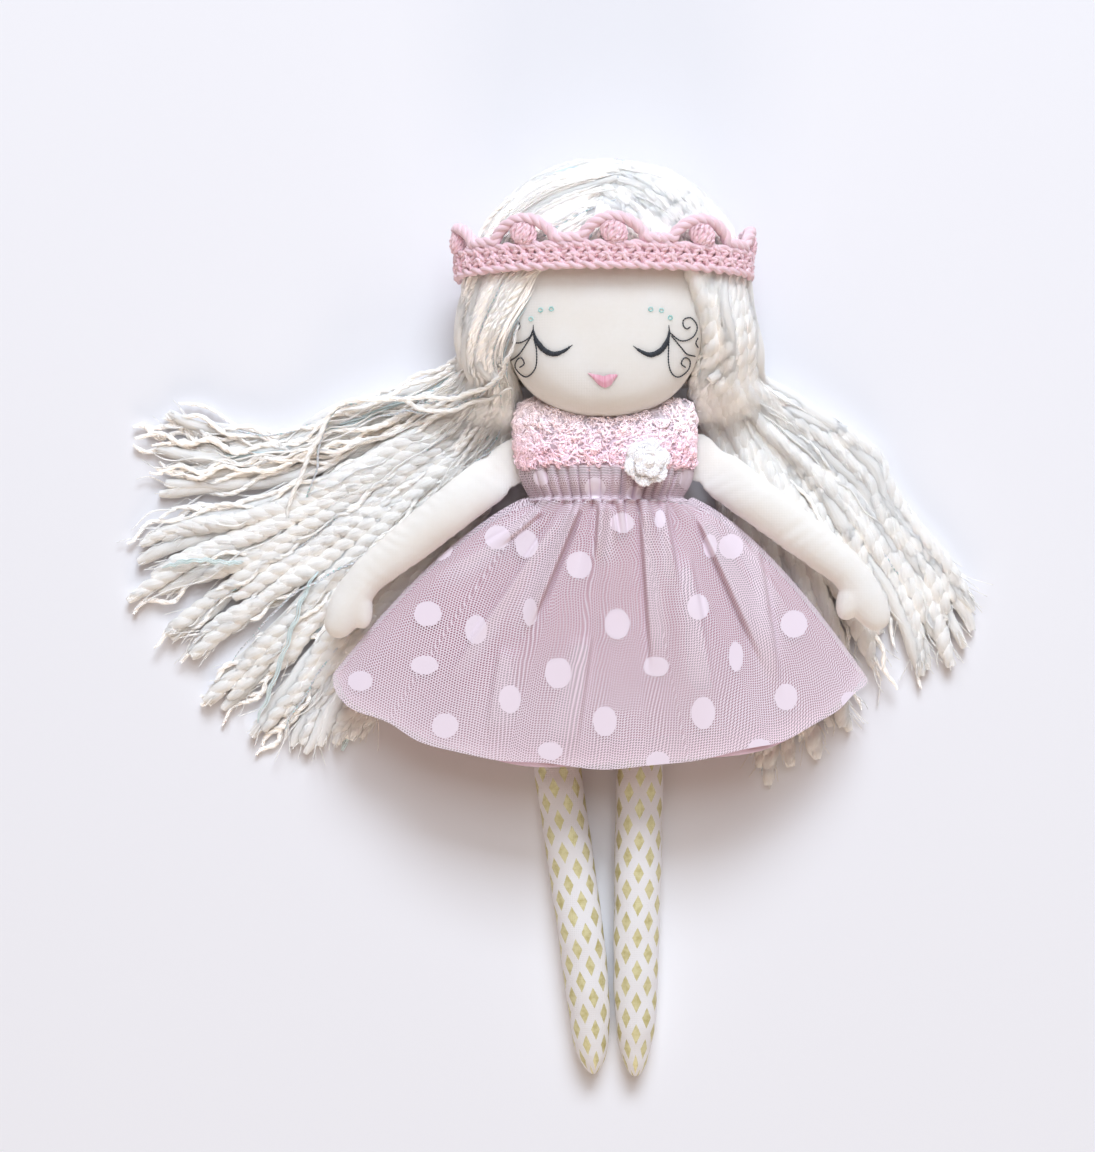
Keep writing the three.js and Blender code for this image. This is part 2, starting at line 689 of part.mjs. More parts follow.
// The skirt's surface: a share down from the waist and an angle round it.
function skirtSurface(place, angle) {
  const front = Math.max(Math.sin(angle), 0);
  const back = Math.max(-Math.sin(angle), 0);
  const waves = foldShares.reduce((sum, { count, start, height }) => {
    return sum + height * Math.sin(count * angle + start);
  }, 0);
  const fold = skirt.fold * Math.min(place / foldFullShare, 1) * waves * Math.sqrt(front);
  const halfWidth = mix(skirt.waistWidth, skirt.hemWidth, place) / 2;
  const edgeY = skirtTop - skirt.edgeDrop * place ** 1.45;
  const middleY = skirtTop - (skirt.drop - (back > 0 ? skirt.backRise : 0)) * place;
  const topZ = mix(skirt.waistTopZ, skirt.hemTopZ, place);
  const bottomZ = mix(skirt.waistBottomZ, skirt.hemBottomZ, place);
  const edgeZ = mix(skirt.waistEdgeZ, skirt.hemEdgeZ, place);
  const backPower = mix(1, 4, Math.min(place * 2, 1));
  const roll = skirt.edgeRoll * (1 - (1 - back) ** 3);
  const below = roll + (edgeZ - bottomZ - skirt.edgeRoll) * back ** backPower;
  return vector(
    mix(skirt.shift, skirt.hemShift, place) + Math.cos(angle) * (halfWidth + fold),
    mix(edgeY, middleY, Math.abs(Math.sin(angle)) ** 1.2),
    edgeZ + (topZ - edgeZ) * front ** 0.95 - below + fold * front,
  );
}

// The same surface at a depth under its outside, so that cloth keeps its thickness in the folds.
function skirtRing(place, inset) {
  const sides = 38;
  const angles = Array.from({ length: sides }, (_, i) => {
    const even = (2 * Math.PI * i) / sides;
    return even + 0.3 * Math.sin(2 * even);
  });
  const step = 0.02;
  const points = angles.map((angle) => skirtSurface(place, angle));
  const falls = angles.map((angle, i) => skirtSurface(place + step, angle).sub(points[i]));
  const normals = points.map((point, i) => {
    const along = points[(i + 1) % sides].clone().sub(point);
    return along.cross(falls[i].clone().add(falls[(i + 1) % sides])).normalize();
  });
  return points.map((point, i) => {
    const before = normals[(i + sides - 1) % sides];
    const after = normals[i];
    const corner = before.clone().add(after).divideScalar(1 + before.dot(after));
    return point.clone().addScaledVector(corner, -inset);
  });
}
function skirtForm(inset, hemShare) {
  const ringAt = (place, depth) => skirtRing(Math.min(place, hemShare), inset + depth);
  return clothTube(ringAt, 9, skirt.wall);
}

// Rows: size and height of a tier of petals from its underside up, as shares.
const outerPetalShares = [
  [0.7, 0],
  [0.97, 0.16],
  [1, 0.34],
  [0.9, 0.5],
  [0.5, 0.46],
];
const innerPetalShares = [
  [0.8, 0.3],
  [1, 0.62],
  [0.9, 0.82],
  [0.45, 0.78],
];
const flowerShares = { inner: 0.6, knob: 0.28, knobHeight: 0.78, notch: 0.16 };

// A crocheted flower: petals in two tiers round a knob, facing away from the bodice.
function flowerForm() {
  const tier = (petals, radius, rows, turn) => {
    const rings = rows.map(([size, height]) => {
      return Array.from({ length: petals * 5 }, (_, i) => {
        const angle = (2 * Math.PI * i) / (petals * 5);
        const lobe = 1 - flowerShares.notch * Math.abs(Math.cos((petals * angle) / 2)) ** 3;
        const reach = radius * size * lobe;
        const x = Math.cos(angle + turn) * reach;
        return vector(x, Math.sin(angle + turn) * reach, height * flower.height);
      });
    });
    return solid(loft(rings));
  };
  const half = flower.width / 2;
  const outer = tier(6, half, outerPetalShares, degrees(flower.turnDegrees));
  const inner = tier(5, flowerShares.inner * half, innerPetalShares, 0);
  const knob = new THREE.SphereGeometry(flowerShares.knob * half, 9, 6);
  const centre = solid(knob.translate(0, 0, flowerShares.knobHeight * flower.height));
  return join([outer, inner, centre]);
}

const doll = new THREE.Group();
function add(name, form, material) {
  const geometry = form.isBufferGeometry ? form : geometryOf(form);
  const mesh = new THREE.Mesh(geometry, material);
  mesh.name = name;
  doll.add(mesh);
  return mesh;
}

add("head", headForm(0), materials.cotton);
add("torso", cut(torsoForm(0), [headForm(gap)]), materials.cotton);
for (const side of arms) {
  add(side.side + "_arm", armForm(side), materials.cotton);
  add(side.side + "_arm_top", armTopForm(side, 0), materials.cotton);
}
for (const side of legs) add(side.side + "_leg", legForm(side), materials.print);
add("leg_tops", legTopsForm(), materials.print);

add("hair_cap", hairCapForm(), materials.yarn);
for (const side of fans) add("hair_" + side.side, fanForm(side), materials.yarn);

add("crown_band", crownBandForm(), materials.crochetPink);
add("crown_edging", crownEdgingForm(), materials.crochetPink);
for (let i = 0; i < scallopCount; i++) {
  add("crown_bobble_" + (i + 1), bobbleForm(i), materials.crochetPink);
}

add("bodice", bodiceForm(), materials.boucle);
add("skirt_heading", headingForm(), materials.tulle);
add("waist_elastic", elasticForm(), materials.tulle);
add("skirt_tulle", skirtForm(0, 1), materials.tulle);
add("skirt_lining", skirtForm(liningInset, liningHemShare), materials.lining);

const blossom = add("flower", flowerForm(), materials.crochetWhite);
blossom.rotation.y = degrees(flower.leanDegrees);
blossom.position.set(flower.x, flower.y, bodiceTopAt(flower.x) + gap);

export default doll;
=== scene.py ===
"""A handmade cloth doll that lies on its back: stuffed cotton body, yarn hair, crocheted crown,
boucle bodice and a dotted tulle skirt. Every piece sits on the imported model. Sizes are millimetres."""

import math

import bmesh
import bpy
import numpy as np
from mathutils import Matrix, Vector
from mathutils.bvhtree import BVHTree


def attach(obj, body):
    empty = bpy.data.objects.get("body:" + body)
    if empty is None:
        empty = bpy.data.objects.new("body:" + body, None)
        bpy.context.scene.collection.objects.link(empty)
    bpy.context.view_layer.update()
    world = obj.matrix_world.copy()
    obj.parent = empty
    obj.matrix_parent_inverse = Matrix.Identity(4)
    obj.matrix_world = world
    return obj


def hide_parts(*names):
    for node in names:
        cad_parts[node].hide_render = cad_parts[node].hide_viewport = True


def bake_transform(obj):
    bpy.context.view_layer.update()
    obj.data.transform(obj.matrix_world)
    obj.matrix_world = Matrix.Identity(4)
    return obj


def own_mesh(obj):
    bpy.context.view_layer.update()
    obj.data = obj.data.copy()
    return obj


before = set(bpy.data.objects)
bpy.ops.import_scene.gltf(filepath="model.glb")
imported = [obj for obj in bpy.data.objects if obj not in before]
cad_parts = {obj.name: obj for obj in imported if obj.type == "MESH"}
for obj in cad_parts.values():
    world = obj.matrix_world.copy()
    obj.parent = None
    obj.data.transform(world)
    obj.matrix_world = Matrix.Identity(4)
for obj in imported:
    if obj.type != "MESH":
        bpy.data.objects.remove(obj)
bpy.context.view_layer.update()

MM = 0.001
chance = np.random.default_rng(7)

# The camera hangs straight over the doll, and one pixel of the 1095 x 1152 view is this wide
# on a plane half way up the hair. The middle of the bodice is at ORIGIN_PIXEL.
CAMERA = np.array([-25.0, -58.3, 1115.0])
VIEW_PLANE = 15.0
PIXEL = 0.434
ORIGIN_PIXEL = (605, 441.7)


def seen(px, py, z):
    """The point at height z that the view shows at a pixel."""
    flat = np.array([(px - ORIGIN_PIXEL[0]) * PIXEL, (ORIGIN_PIXEL[1] - py) * PIXEL])
    share = 1 - (z - VIEW_PLANE) / (CAMERA[2] - VIEW_PLANE)
    x, y = CAMERA[:2] + (flat - CAMERA[:2]) * share
    return np.array([x, y, z])


def shown_at(points):
    """The pixels at which the view shows points."""
    share = (CAMERA[2] - VIEW_PLANE) / (CAMERA[2] - points[:, 2])
    flat = CAMERA[:2] + (points[:, :2] - CAMERA[:2]) * share[:, None]
    return np.stack([flat[:, 0] / PIXEL + ORIGIN_PIXEL[0], ORIGIN_PIXEL[1] - flat[:, 1] / PIXEL], axis=1)


# Nodes and materials

MATH, MIX, NOISE = "ShaderNodeMath", "ShaderNodeMix", "ShaderNodeTexNoise"


def linear(hex_colour):
    """A colour written as sRGB hex, as Blender's linear red, green, blue and alpha."""
    parts = [int(hex_colour[i : i + 2], 16) / 255 for i in (0, 2, 4)]
    return [p / 12.92 if p <= 0.04045 else ((p + 0.055) / 1.055) ** 2.4 for p in parts] + [1.0]


def feed(tree, node, inputs):
    """Sets a node's inputs: to values, to hex colours, or to the nodes or sockets that feed them."""
    for key, value in inputs.items():
        if isinstance(value, bpy.types.Node):
            # Mixed colours come out of the third socket, and all else used here out of the first.
            value = value.outputs[2 if value.bl_idname == MIX else 0]
        if isinstance(value, bpy.types.NodeSocket):
            tree.links.new(value, node.inputs[key])
        elif isinstance(value, str) and node.inputs[key].type == "RGBA":
            node.inputs[key].default_value = linear(value)
        else:
            node.inputs[key].default_value = value
    return node


def add(tree, kind, inputs=None, **settings):
    """A new node with its settings, and its inputs set or linked."""
    node = tree.nodes.new(kind)
    for key, value in settings.items():
        setattr(node, key, value)
    return feed(tree, node, inputs or {})


def material(name, base, slot_values, surface):
    """A Principled material. surface adds its pattern and says which slots of the shader that feeds,
    and what raises the cloth or yarn, by how many millimetres."""
    made = bpy.data.materials.new(name)
    made.use_nodes = True
    tree = made.node_tree
    tree.nodes.clear()
    plain = {"Base Color": base, "Subsurface Radius": (1.0, 0.9, 0.8), **slot_values}
    shader = add(tree, "ShaderNodeBsdfPrincipled", plain, subsurface_method="BURLEY")
    add(tree, "ShaderNodeOutputMaterial", {"Surface": shader})
    made.diffuse_color = linear(base)
    fed = surface(tree, add(tree, "ShaderNodeTexCoord").outputs["Object"])
    if "Raised" in fed:
        height, depth = fed.pop("Raised")
        fed["Normal"] = add(tree, "ShaderNodeBump", {"Height": height, "Distance": depth * MM})
    feed(tree, shader, fed)
    return made


def per(size):
    """The scale of a pattern whose patches are about size millimetres wide."""
    return 1 / (size * MM)


def weave(tree, place, spacing):
    """The over and under of two sets of threads at right angles, spacing millimetres apart."""
    waves = []
    for direction in ("X", "Y"):
        inputs = {"Vector": place, "Scale": math.pi / 10 / (spacing * MM), "Distortion": 0.6}
        inputs["Detail Scale"] = 2.0
        waves.append(add(tree, "ShaderNodeTexWave", inputs, bands_direction=direction).outputs["Fac"])
    half = add(tree, MATH, {0: waves[1], 1: 0.5}, operation="MULTIPLY")
    return add(tree, MATH, {0: waves[0], 1: 0.5, 2: half}, operation="MULTIPLY_ADD")


def fibres(tree, across, length):
    """Streaks along a yarn: across of them round it, each about length millimetres long."""
    turn = add(tree, "ShaderNodeAttribute", attribute_name="around").outputs["Vector"]
    around = add(tree, "ShaderNodeSeparateXYZ", {0: turn})
    along = add(tree, "ShaderNodeAttribute", attribute_name="along").outputs["Fac"]
    place = {2: add(tree, MATH, {0: along, 1: per(length)}, operation="MULTIPLY")}
    for axis in (0, 1):
        place[axis] = add(tree, MATH, {0: around.outputs[axis], 1: across}, operation="MULTIPLY")
    turned = add(tree, "ShaderNodeCombineXYZ", place)
    return add(tree, NOISE, {"Vector": turned, "Scale": 1.0, "Detail": 3.0})


def from_middle(tree, along, pitch, shift):
    """How far a place is from the middle of its repeat, from -0.5 to 0.5 of the pitch."""
    turns = add(tree, MATH, {0: along, 1: 1 / pitch, 2: shift}, operation="MULTIPLY_ADD")
    share = add(tree, MATH, {0: turns}, operation="FRACT")
    return add(tree, MATH, {0: share, 1: 0.5}, operation="SUBTRACT")


def cotton_surface(tree, place):
    patches = add(tree, NOISE, {"Vector": place, "Scale": per(28)})
    warmth = add(tree, "ShaderNodeMapRange", {0: patches, 1: 0.35, 2: 0.7})
    warm = add(tree, MIX, {"Factor": warmth, 6: "f7f2eb", 7: "faf7f3"}, data_type="RGBA")
    slubs = add(tree, NOISE, {"Vector": place, "Scale": per(1.6), "Detail": 4.0})
    faint = add(tree, MATH, {0: slubs, 1: 0.22}, operation="MULTIPLY")
    raised = add(tree, MATH, {0: slubs, 1: 0.6}, operation="MULTIPLY")
    threads = weave(tree, place, 1.1)
    height = add(tree, MATH, {0: threads, 1: 0.5, 2: raised}, operation="MULTIPLY_ADD")
    return {
        "Base Color": add(tree, MIX, {"Factor": faint, 6: warm, 7: "e9e0d2"}, data_type="RGBA"),
        "Raised": (height, 0.07),
    }


def printed_surface(tree, place):
    """White cotton with staggered gold diamonds, 12.2 mm apart across and 14 mm along."""
    split = add(tree, "ShaderNodeSeparateXYZ", {0: add(tree, "ShaderNodeUVMap", uv_map="cloth")})
    diamonds = []
    for shift in (0.5, 1.0):
        sides = {}
        for side, (axis, pitch, half) in enumerate((("X", 12.2, 2.75), ("Y", 14.0, 4.7))):
            offset = from_middle(tree, split.outputs[axis], pitch, shift)
            distance = add(tree, MATH, {0: offset}, operation="ABSOLUTE")
            sides[side] = add(tree, MATH, {0: distance, 1: pitch / half}, operation="MULTIPLY")
        diamonds.append(add(tree, MATH, sides, operation="ADD"))
    nearest = add(tree, MATH, {0: diamonds[0], 1: diamonds[1]}, operation="MINIMUM")
    fine = add(tree, NOISE, {"Vector": place, "Scale": per(0.9), "Detail": 3.0})
    ragged = add(tree, MATH, {0: fine, 1: 0.24, 2: -0.12}, operation="MULTIPLY_ADD")
    edge = add(tree, MATH, {0: nearest, 1: ragged}, operation="ADD")
    gold = add(tree, "ShaderNodeMapRange", {0: edge, 1: 1.04, 2: 0.94})
    rubbed = add(tree, NOISE, {"Vector": place, "Scale": per(2.4), "Detail": 3.0})
    worn = add(tree, "ShaderNodeMapRange", {0: rubbed, 1: 0.3, 2: 0.6})
    foil = add(tree, MIX, {"Factor": worn, 6: "bfb379", 7: "d9d0a2"}, data_type="RGBA")
    patches = add(tree, NOISE, {"Vector": place, "Scale": per(20)})
    white = add(tree, MIX, {"Factor": patches, 6: "f2eeee", 7: "f9f7f8"}, data_type="RGBA")
    threads = weave(tree, place, 0.9)
    height = add(tree, MATH, {0: fine, 1: 0.6, 2: threads}, operation="MULTIPLY_ADD")
    return {
        "Base Color": add(tree, MIX, {"Factor": gold, 6: white, 7: foil}, data_type="RGBA"),
        "Metallic": add(tree, MATH, {0: gold, 1: 0.3}, operation="MULTIPLY"),
        "Roughness": add(tree, MATH, {0: gold, 1: -0.4, 2: 0.88}, operation="MULTIPLY_ADD"),
        "Raised": (height, 0.08),
    }


def yarn_surface(light, dark, across, length, depth):
    """Spun fibres: each yarn a little lighter or darker than the next, with streaks along it."""

    def surface(tree, place):
        strand = add(tree, "ShaderNodeAttribute", attribute_name="strand").outputs["Fac"]
        streaks = fibres(tree, across, length)
        streaked = add(tree, MATH, {0: streaks, 1: 0.9}, operation="MULTIPLY")
        shade = add(tree, MATH, {0: strand, 1: 0.35, 2: streaked}, operation="MULTIPLY_ADD")
        fuzz = add(tree, NOISE, {"Vector": place, "Scale": per(0.5), "Detail": 3.0})
        height = add(tree, MATH, {0: fuzz, 1: 0.4, 2: streaks}, operation="MULTIPLY_ADD")
        return {
            "Base Color": add(tree, MIX, {"Factor": shade, 6: dark, 7: light}, data_type="RGBA"),
            "Raised": (height, depth),
        }

    return surface


def glitter_surface(tree, place):
    """Film cut into flakes under a millimetre long, each turned its own way."""
    flakes = add(tree, "ShaderNodeTexVoronoi", {"Vector": place, "Scale": per(0.8)})
    cell = add(tree, "ShaderNodeSeparateColor", {0: flakes.outputs["Color"]})
    silver = add(tree, MIX, {"Factor": cell, 6: "dfe6ea", 7: "f6f1f4"}, data_type="RGBA")
    aqua = add(tree, MATH, {0: cell.outputs[1], 1: 0.86}, operation="GREATER_THAN")
    return {
        "Base Color": add(tree, MIX, {"Factor": aqua, 6: silver, 7: "bfe0dc"}, data_type="RGBA"),
        "Roughness": add(tree, MATH, {0: cell.outputs[2], 1: 0.35, 2: 0.12}, operation="MULTIPLY_ADD"),
        "Raised": (cell.outputs[1], 0.5),
    }


def ribbon_surface(tree, place):
    patches = add(tree, NOISE, {"Vector": place, "Scale": per(7)})
    fine = add(tree, NOISE, {"Vector": place, "Scale": per(0.6), "Detail": 3.0})
    return {
        "Base Color": add(tree, MIX, {"Factor": patches, 6: "d0e4e5", 7: "e9f2f3"}, data_type="RGBA"),
        "Raised": (fine, 0.15),
    }


def boucle_surface(tree, place):
    """Pink curls, with painted light that makes them paler towards the neckline at the top of the bodice."""
    clouds = add(tree, NOISE, {"Vector": place, "Scale": per(8)})
    patches = add(tree, "ShaderNodeMapRange", {0: clouds, 1: 0.3, 2: 0.7})
    height = add(tree, "ShaderNodeSeparateXYZ", {0: place}).outputs["Y"]
    # Painted light: the curls turn paler up the bodice towards its top, as if the top were more brightly lit.
    painted_light_top = add(tree, "ShaderNodeMapRange", {0: height, 1: -6 * MM, 2: 10 * MM})
    low = add(tree, MIX, {"Factor": patches, 6: "eac5d4", 7: "f3d9e4"}, data_type="RGBA")
    pink = add(tree, MIX, {"Factor": painted_light_top, 6: low, 7: "fcf0f6"}, data_type="RGBA")
    strand = add(tree, "ShaderNodeAttribute", attribute_name="strand").outputs["Fac"]
    faint = add(tree, MATH, {0: strand, 1: 0.25}, operation="MULTIPLY")
    fine = add(tree, NOISE, {"Vector": place, "Scale": per(0.4), "Detail": 3.0})
    return {
        "Base Color": add(tree, MIX, {"Factor": faint, 6: pink, 7: "fdf2f7"}, data_type="RGBA"),
        "Raised": (fine, 0.2),
    }


NET_PITCH = 1.26
HOLE_RADIUS_SQUARED = 0.17


def tulle_surface(tree, place):
    """Hexagonal net, 1.26 mm from hole to hole, closed where an oval dot is woven in."""
    cloth = add(tree, "ShaderNodeUVMap", uv_map="cloth")
    split = add(tree, "ShaderNodeSeparateXYZ", {0: cloth})
    cells = []
    for shift in (0.0, 0.5):
        sides = {}
        for side, (axis, pitch) in enumerate((("X", NET_PITCH), ("Y", NET_PITCH * math.sqrt(3)))):
            offset = from_middle(tree, split.outputs[axis], pitch, shift)
            distance = add(tree, MATH, {0: offset, 1: pitch}, operation="MULTIPLY")
            sides[side] = add(tree, MATH, {0: distance, 1: 2.0}, operation="POWER")
        cells.append(add(tree, MATH, sides, operation="ADD"))
    nearest = add(tree, MATH, {0: cells[0], 1: cells[1]}, operation="MINIMUM")
    hole = add(tree, MATH, {0: nearest, 1: HOLE_RADIUS_SQUARED}, operation="LESS_THAN")
    # The dot's edge steps from cell to cell of the net.
    step = add(tree, "ShaderNodeVectorMath", {0: cloth, 1: (NET_PITCH, 1.09, 1.0)}, operation="SNAP")
    ragged = add(tree, NOISE, {"Vector": step, "Scale": 3.1})
    dot = add(tree, "ShaderNodeAttribute", attribute_name="dot").outputs["Fac"]
    edge = add(tree, MATH, {0: ragged, 1: 1.1, 2: dot}, operation="MULTIPLY_ADD")
    woven = add(tree, "ShaderNodeMapRange", {0: edge, 1: 0.62, 2: 0.48})
    layers = add(tree, "ShaderNodeAttribute", attribute_name="double").outputs["Fac"]
    double = add(tree, MATH, {0: layers, 1: 0.5}, operation="MULTIPLY")
    cover = add(tree, MATH, {0: woven, 1: double}, operation="MAXIMUM")
    bare = add(tree, MATH, {0: 1.0, 1: cover}, operation="SUBTRACT")
    open_net = add(tree, MATH, {0: hole, 1: bare}, operation="MULTIPLY")
    patches = add(tree, NOISE, {"Vector": place, "Scale": per(24)})
    net = add(tree, MIX, {"Factor": patches, 6: "ecd9e2", 7: "f3e4ec"}, data_type="RGBA")
    return {
        "Alpha": add(tree, MATH, {0: 1.0, 1: open_net}, operation="SUBTRACT"),
        "Base Color": add(tree, MIX, {"Factor": woven, 6: net, 7: "f4e4ee"}, data_type="RGBA"),
        "Roughness": add(tree, MATH, {0: woven, 1: -0.15, 2: 0.62}, operation="MULTIPLY_ADD"),
    }


def lining_surface(tree, place):
    """Pink, darkened as painted shade where the net lies over it, and lighter as painted light at the edge
    that shows below it.
    """
    patches = add(tree, NOISE, {"Vector": place, "Scale": per(35)})
    # Painted shade: the pink that lies under the net is darker than the cloth's own colour.
    painted_shade_under_net = add(tree, MIX, {"Factor": patches, 6: "c78a9c", 7: "d49dad"}, data_type="RGBA")
    # Painted light: the stored edge value makes the rim that shows below the net lighter.
    edge = add(tree, "ShaderNodeAttribute", attribute_name="edge").outputs["Fac"]
    threads = weave(tree, place, 0.8)
    return {
        "Base Color": add(tree, MIX, {"Factor": edge, 6: painted_shade_under_net, 7: "f3d3dc"}, data_type="RGBA"),
        "Raised": (threads, 0.06),
    }


def floss(colour, base, light, dark):
    """Embroidery cotton of one colour, with a silky line on each stitch."""

    def surface(tree, place):
        strand = add(tree, "ShaderNodeAttribute", attribute_name="strand").outputs["Fac"]
        fine = add(tree, NOISE, {"Vector": place, "Scale": per(0.35), "Detail": 2.0})
        return {
            "Base Color": add(tree, MIX, {"Factor": strand, 6: dark, 7: light}, data_type="RGBA"),
            "Raised": (fine, 0.08),
        }

    return material("embroidery_floss_" + colour, base, {"Roughness": 0.5}, surface)


def glow(weight, depth):
    """Light that goes into loose fibres and comes out again, up to depth millimetres away."""
    return {"Subsurface Weight": weight, "Subsurface Scale": depth * MM}


# Plain woven calico: dry, warm and matt, with slubs in the thread.
calico = material(
    "calico_woven", "f6f1ea", {"Roughness": 0.88, "Sheen Weight": 0.12, **glow(0.8, 8)}, cotton_surface
)
# Fine cotton with gold foil pressed on: the foil catches the light, the cloth does not.
foil_print = material("cotton_foil_printed", "eeebee", {"Roughness": 0.85}, printed_surface)
# Thick loosely spun wool roving: soft, bright and almost without gloss.
roving = material(
    "wool_roving_spun",
    "f6f4ef",
    {"Roughness": 0.95, "Sheen Weight": 0.25, "Sheen Roughness": 0.6, **glow(1.0, 4)},
    yarn_surface("f8f6f3", "f1ece4", 4.0, 9.0, 0.4),
)
# Thinner brushed wool: creamier, with more shade between its strands.
wool = material(
    "wool_brushed_spun",
    "f3eee3",
    {"Roughness": 0.95, "Sheen Weight": 0.3, "Sheen Roughness": 0.6, **glow(1.0, 3)},
    yarn_surface("fbf8f5", "f6f1e9", 3.0, 6.0, 0.15),
)
# Effect yarn of cut polyester film: white with hard small sparkles.
glitter = material("polyester_film_cut", "e9eef0", {"Metallic": 0.2, "Roughness": 0.25}, glitter_surface)
# Flat viscose ribbon yarn: pale aqua with a silky shine.
ribbon = material(
    "viscose_ribbon_woven", "dcebec", {"Roughness": 0.42, "Sheen Weight": 0.2, **glow(0.5, 2)}, ribbon_surface
)
# Mercerised cotton yarn, crocheted: pink with a low shine on each ply.
crown_cotton = material(
    "mercerised_cotton_crocheted",
    "e1a8b7",
    {"Roughness": 0.62, "Sheen Weight": 0.3, "Sheen Roughness": 0.5, **glow(0.65, 1.5)},
    yarn_surface("fbdfe6", "efbecb", 6.0, 2.2, 0.2),
)
# White cotton yarn, crocheted tightly: matt with deep shade between its loops.
flower_cotton = material(
    "white_cotton_crocheted",
    "f7f6f7",
    {"Roughness": 0.8, "Sheen Weight": 0.2, **glow(0.7, 2)},
    yarn_surface("fcfbfd", "f6f4f8", 5.0, 2.2, 0.2),
)
# Boucle knitted from mohair loops: pale pink curls with a halo.
boucle = material(
    "mohair_boucle_knitted",
    "e9c9d6",
    {
        "Roughness": 1.0,
        "Sheen Weight": 0.25,
        "Sheen Roughness": 0.7,
        "Specular IOR Level": 0.15,
        **glow(1.0, 2.5),
    },
    boucle_surface,
)
# Nylon tulle, knitted: dry fine threads round open cells, with thicker silky dots.
tulle = material("nylon_tulle_knitted", "ddc9d3", {"Roughness": 0.6, "Sheen Weight": 0.15}, tulle_surface)
# Acetate lining, woven: pink with a soft satin shine, with painted shade under the net and painted light on
# its lowest rim.
acetate = material("acetate_lining_woven", "d7a5af", {"Roughness": 0.55, "Sheen Weight": 0.2}, lining_surface)
# Six-strand embroidery cotton in black, aqua and rose: satin stitches with a silky line on each.
black_floss = floss("black", "1b1f26", "2b3038", "12151b")
aqua_floss = floss("aqua", "aee0dc", "c4ebe7", "93d3ce")
rose_floss = floss("rose", "e98fa8", "f9c8d6", "f0a9be")


# Geometry nodes

STORE = "GeometryNodeStoreNamedAttribute"


def new_tree(name, sizes):
    """An empty geometry tree with named inputs for its sizes."""
    tree = bpy.data.node_groups.new(name, "GeometryNodeTree")
    tree.interface.new_socket("Geometry", in_out="INPUT", socket_type="NodeSocketGeometry")
    for label, kind, default in sizes:
        socket = tree.interface.new_socket(label, in_out="INPUT", socket_type="NodeSocket" + kind)
        if default is not None:
            socket.default_value = default
    tree.interface.new_socket("Geometry", in_out="OUTPUT", socket_type="NodeSocketGeometry")
    return tree, add(tree, "NodeGroupInput").outputs


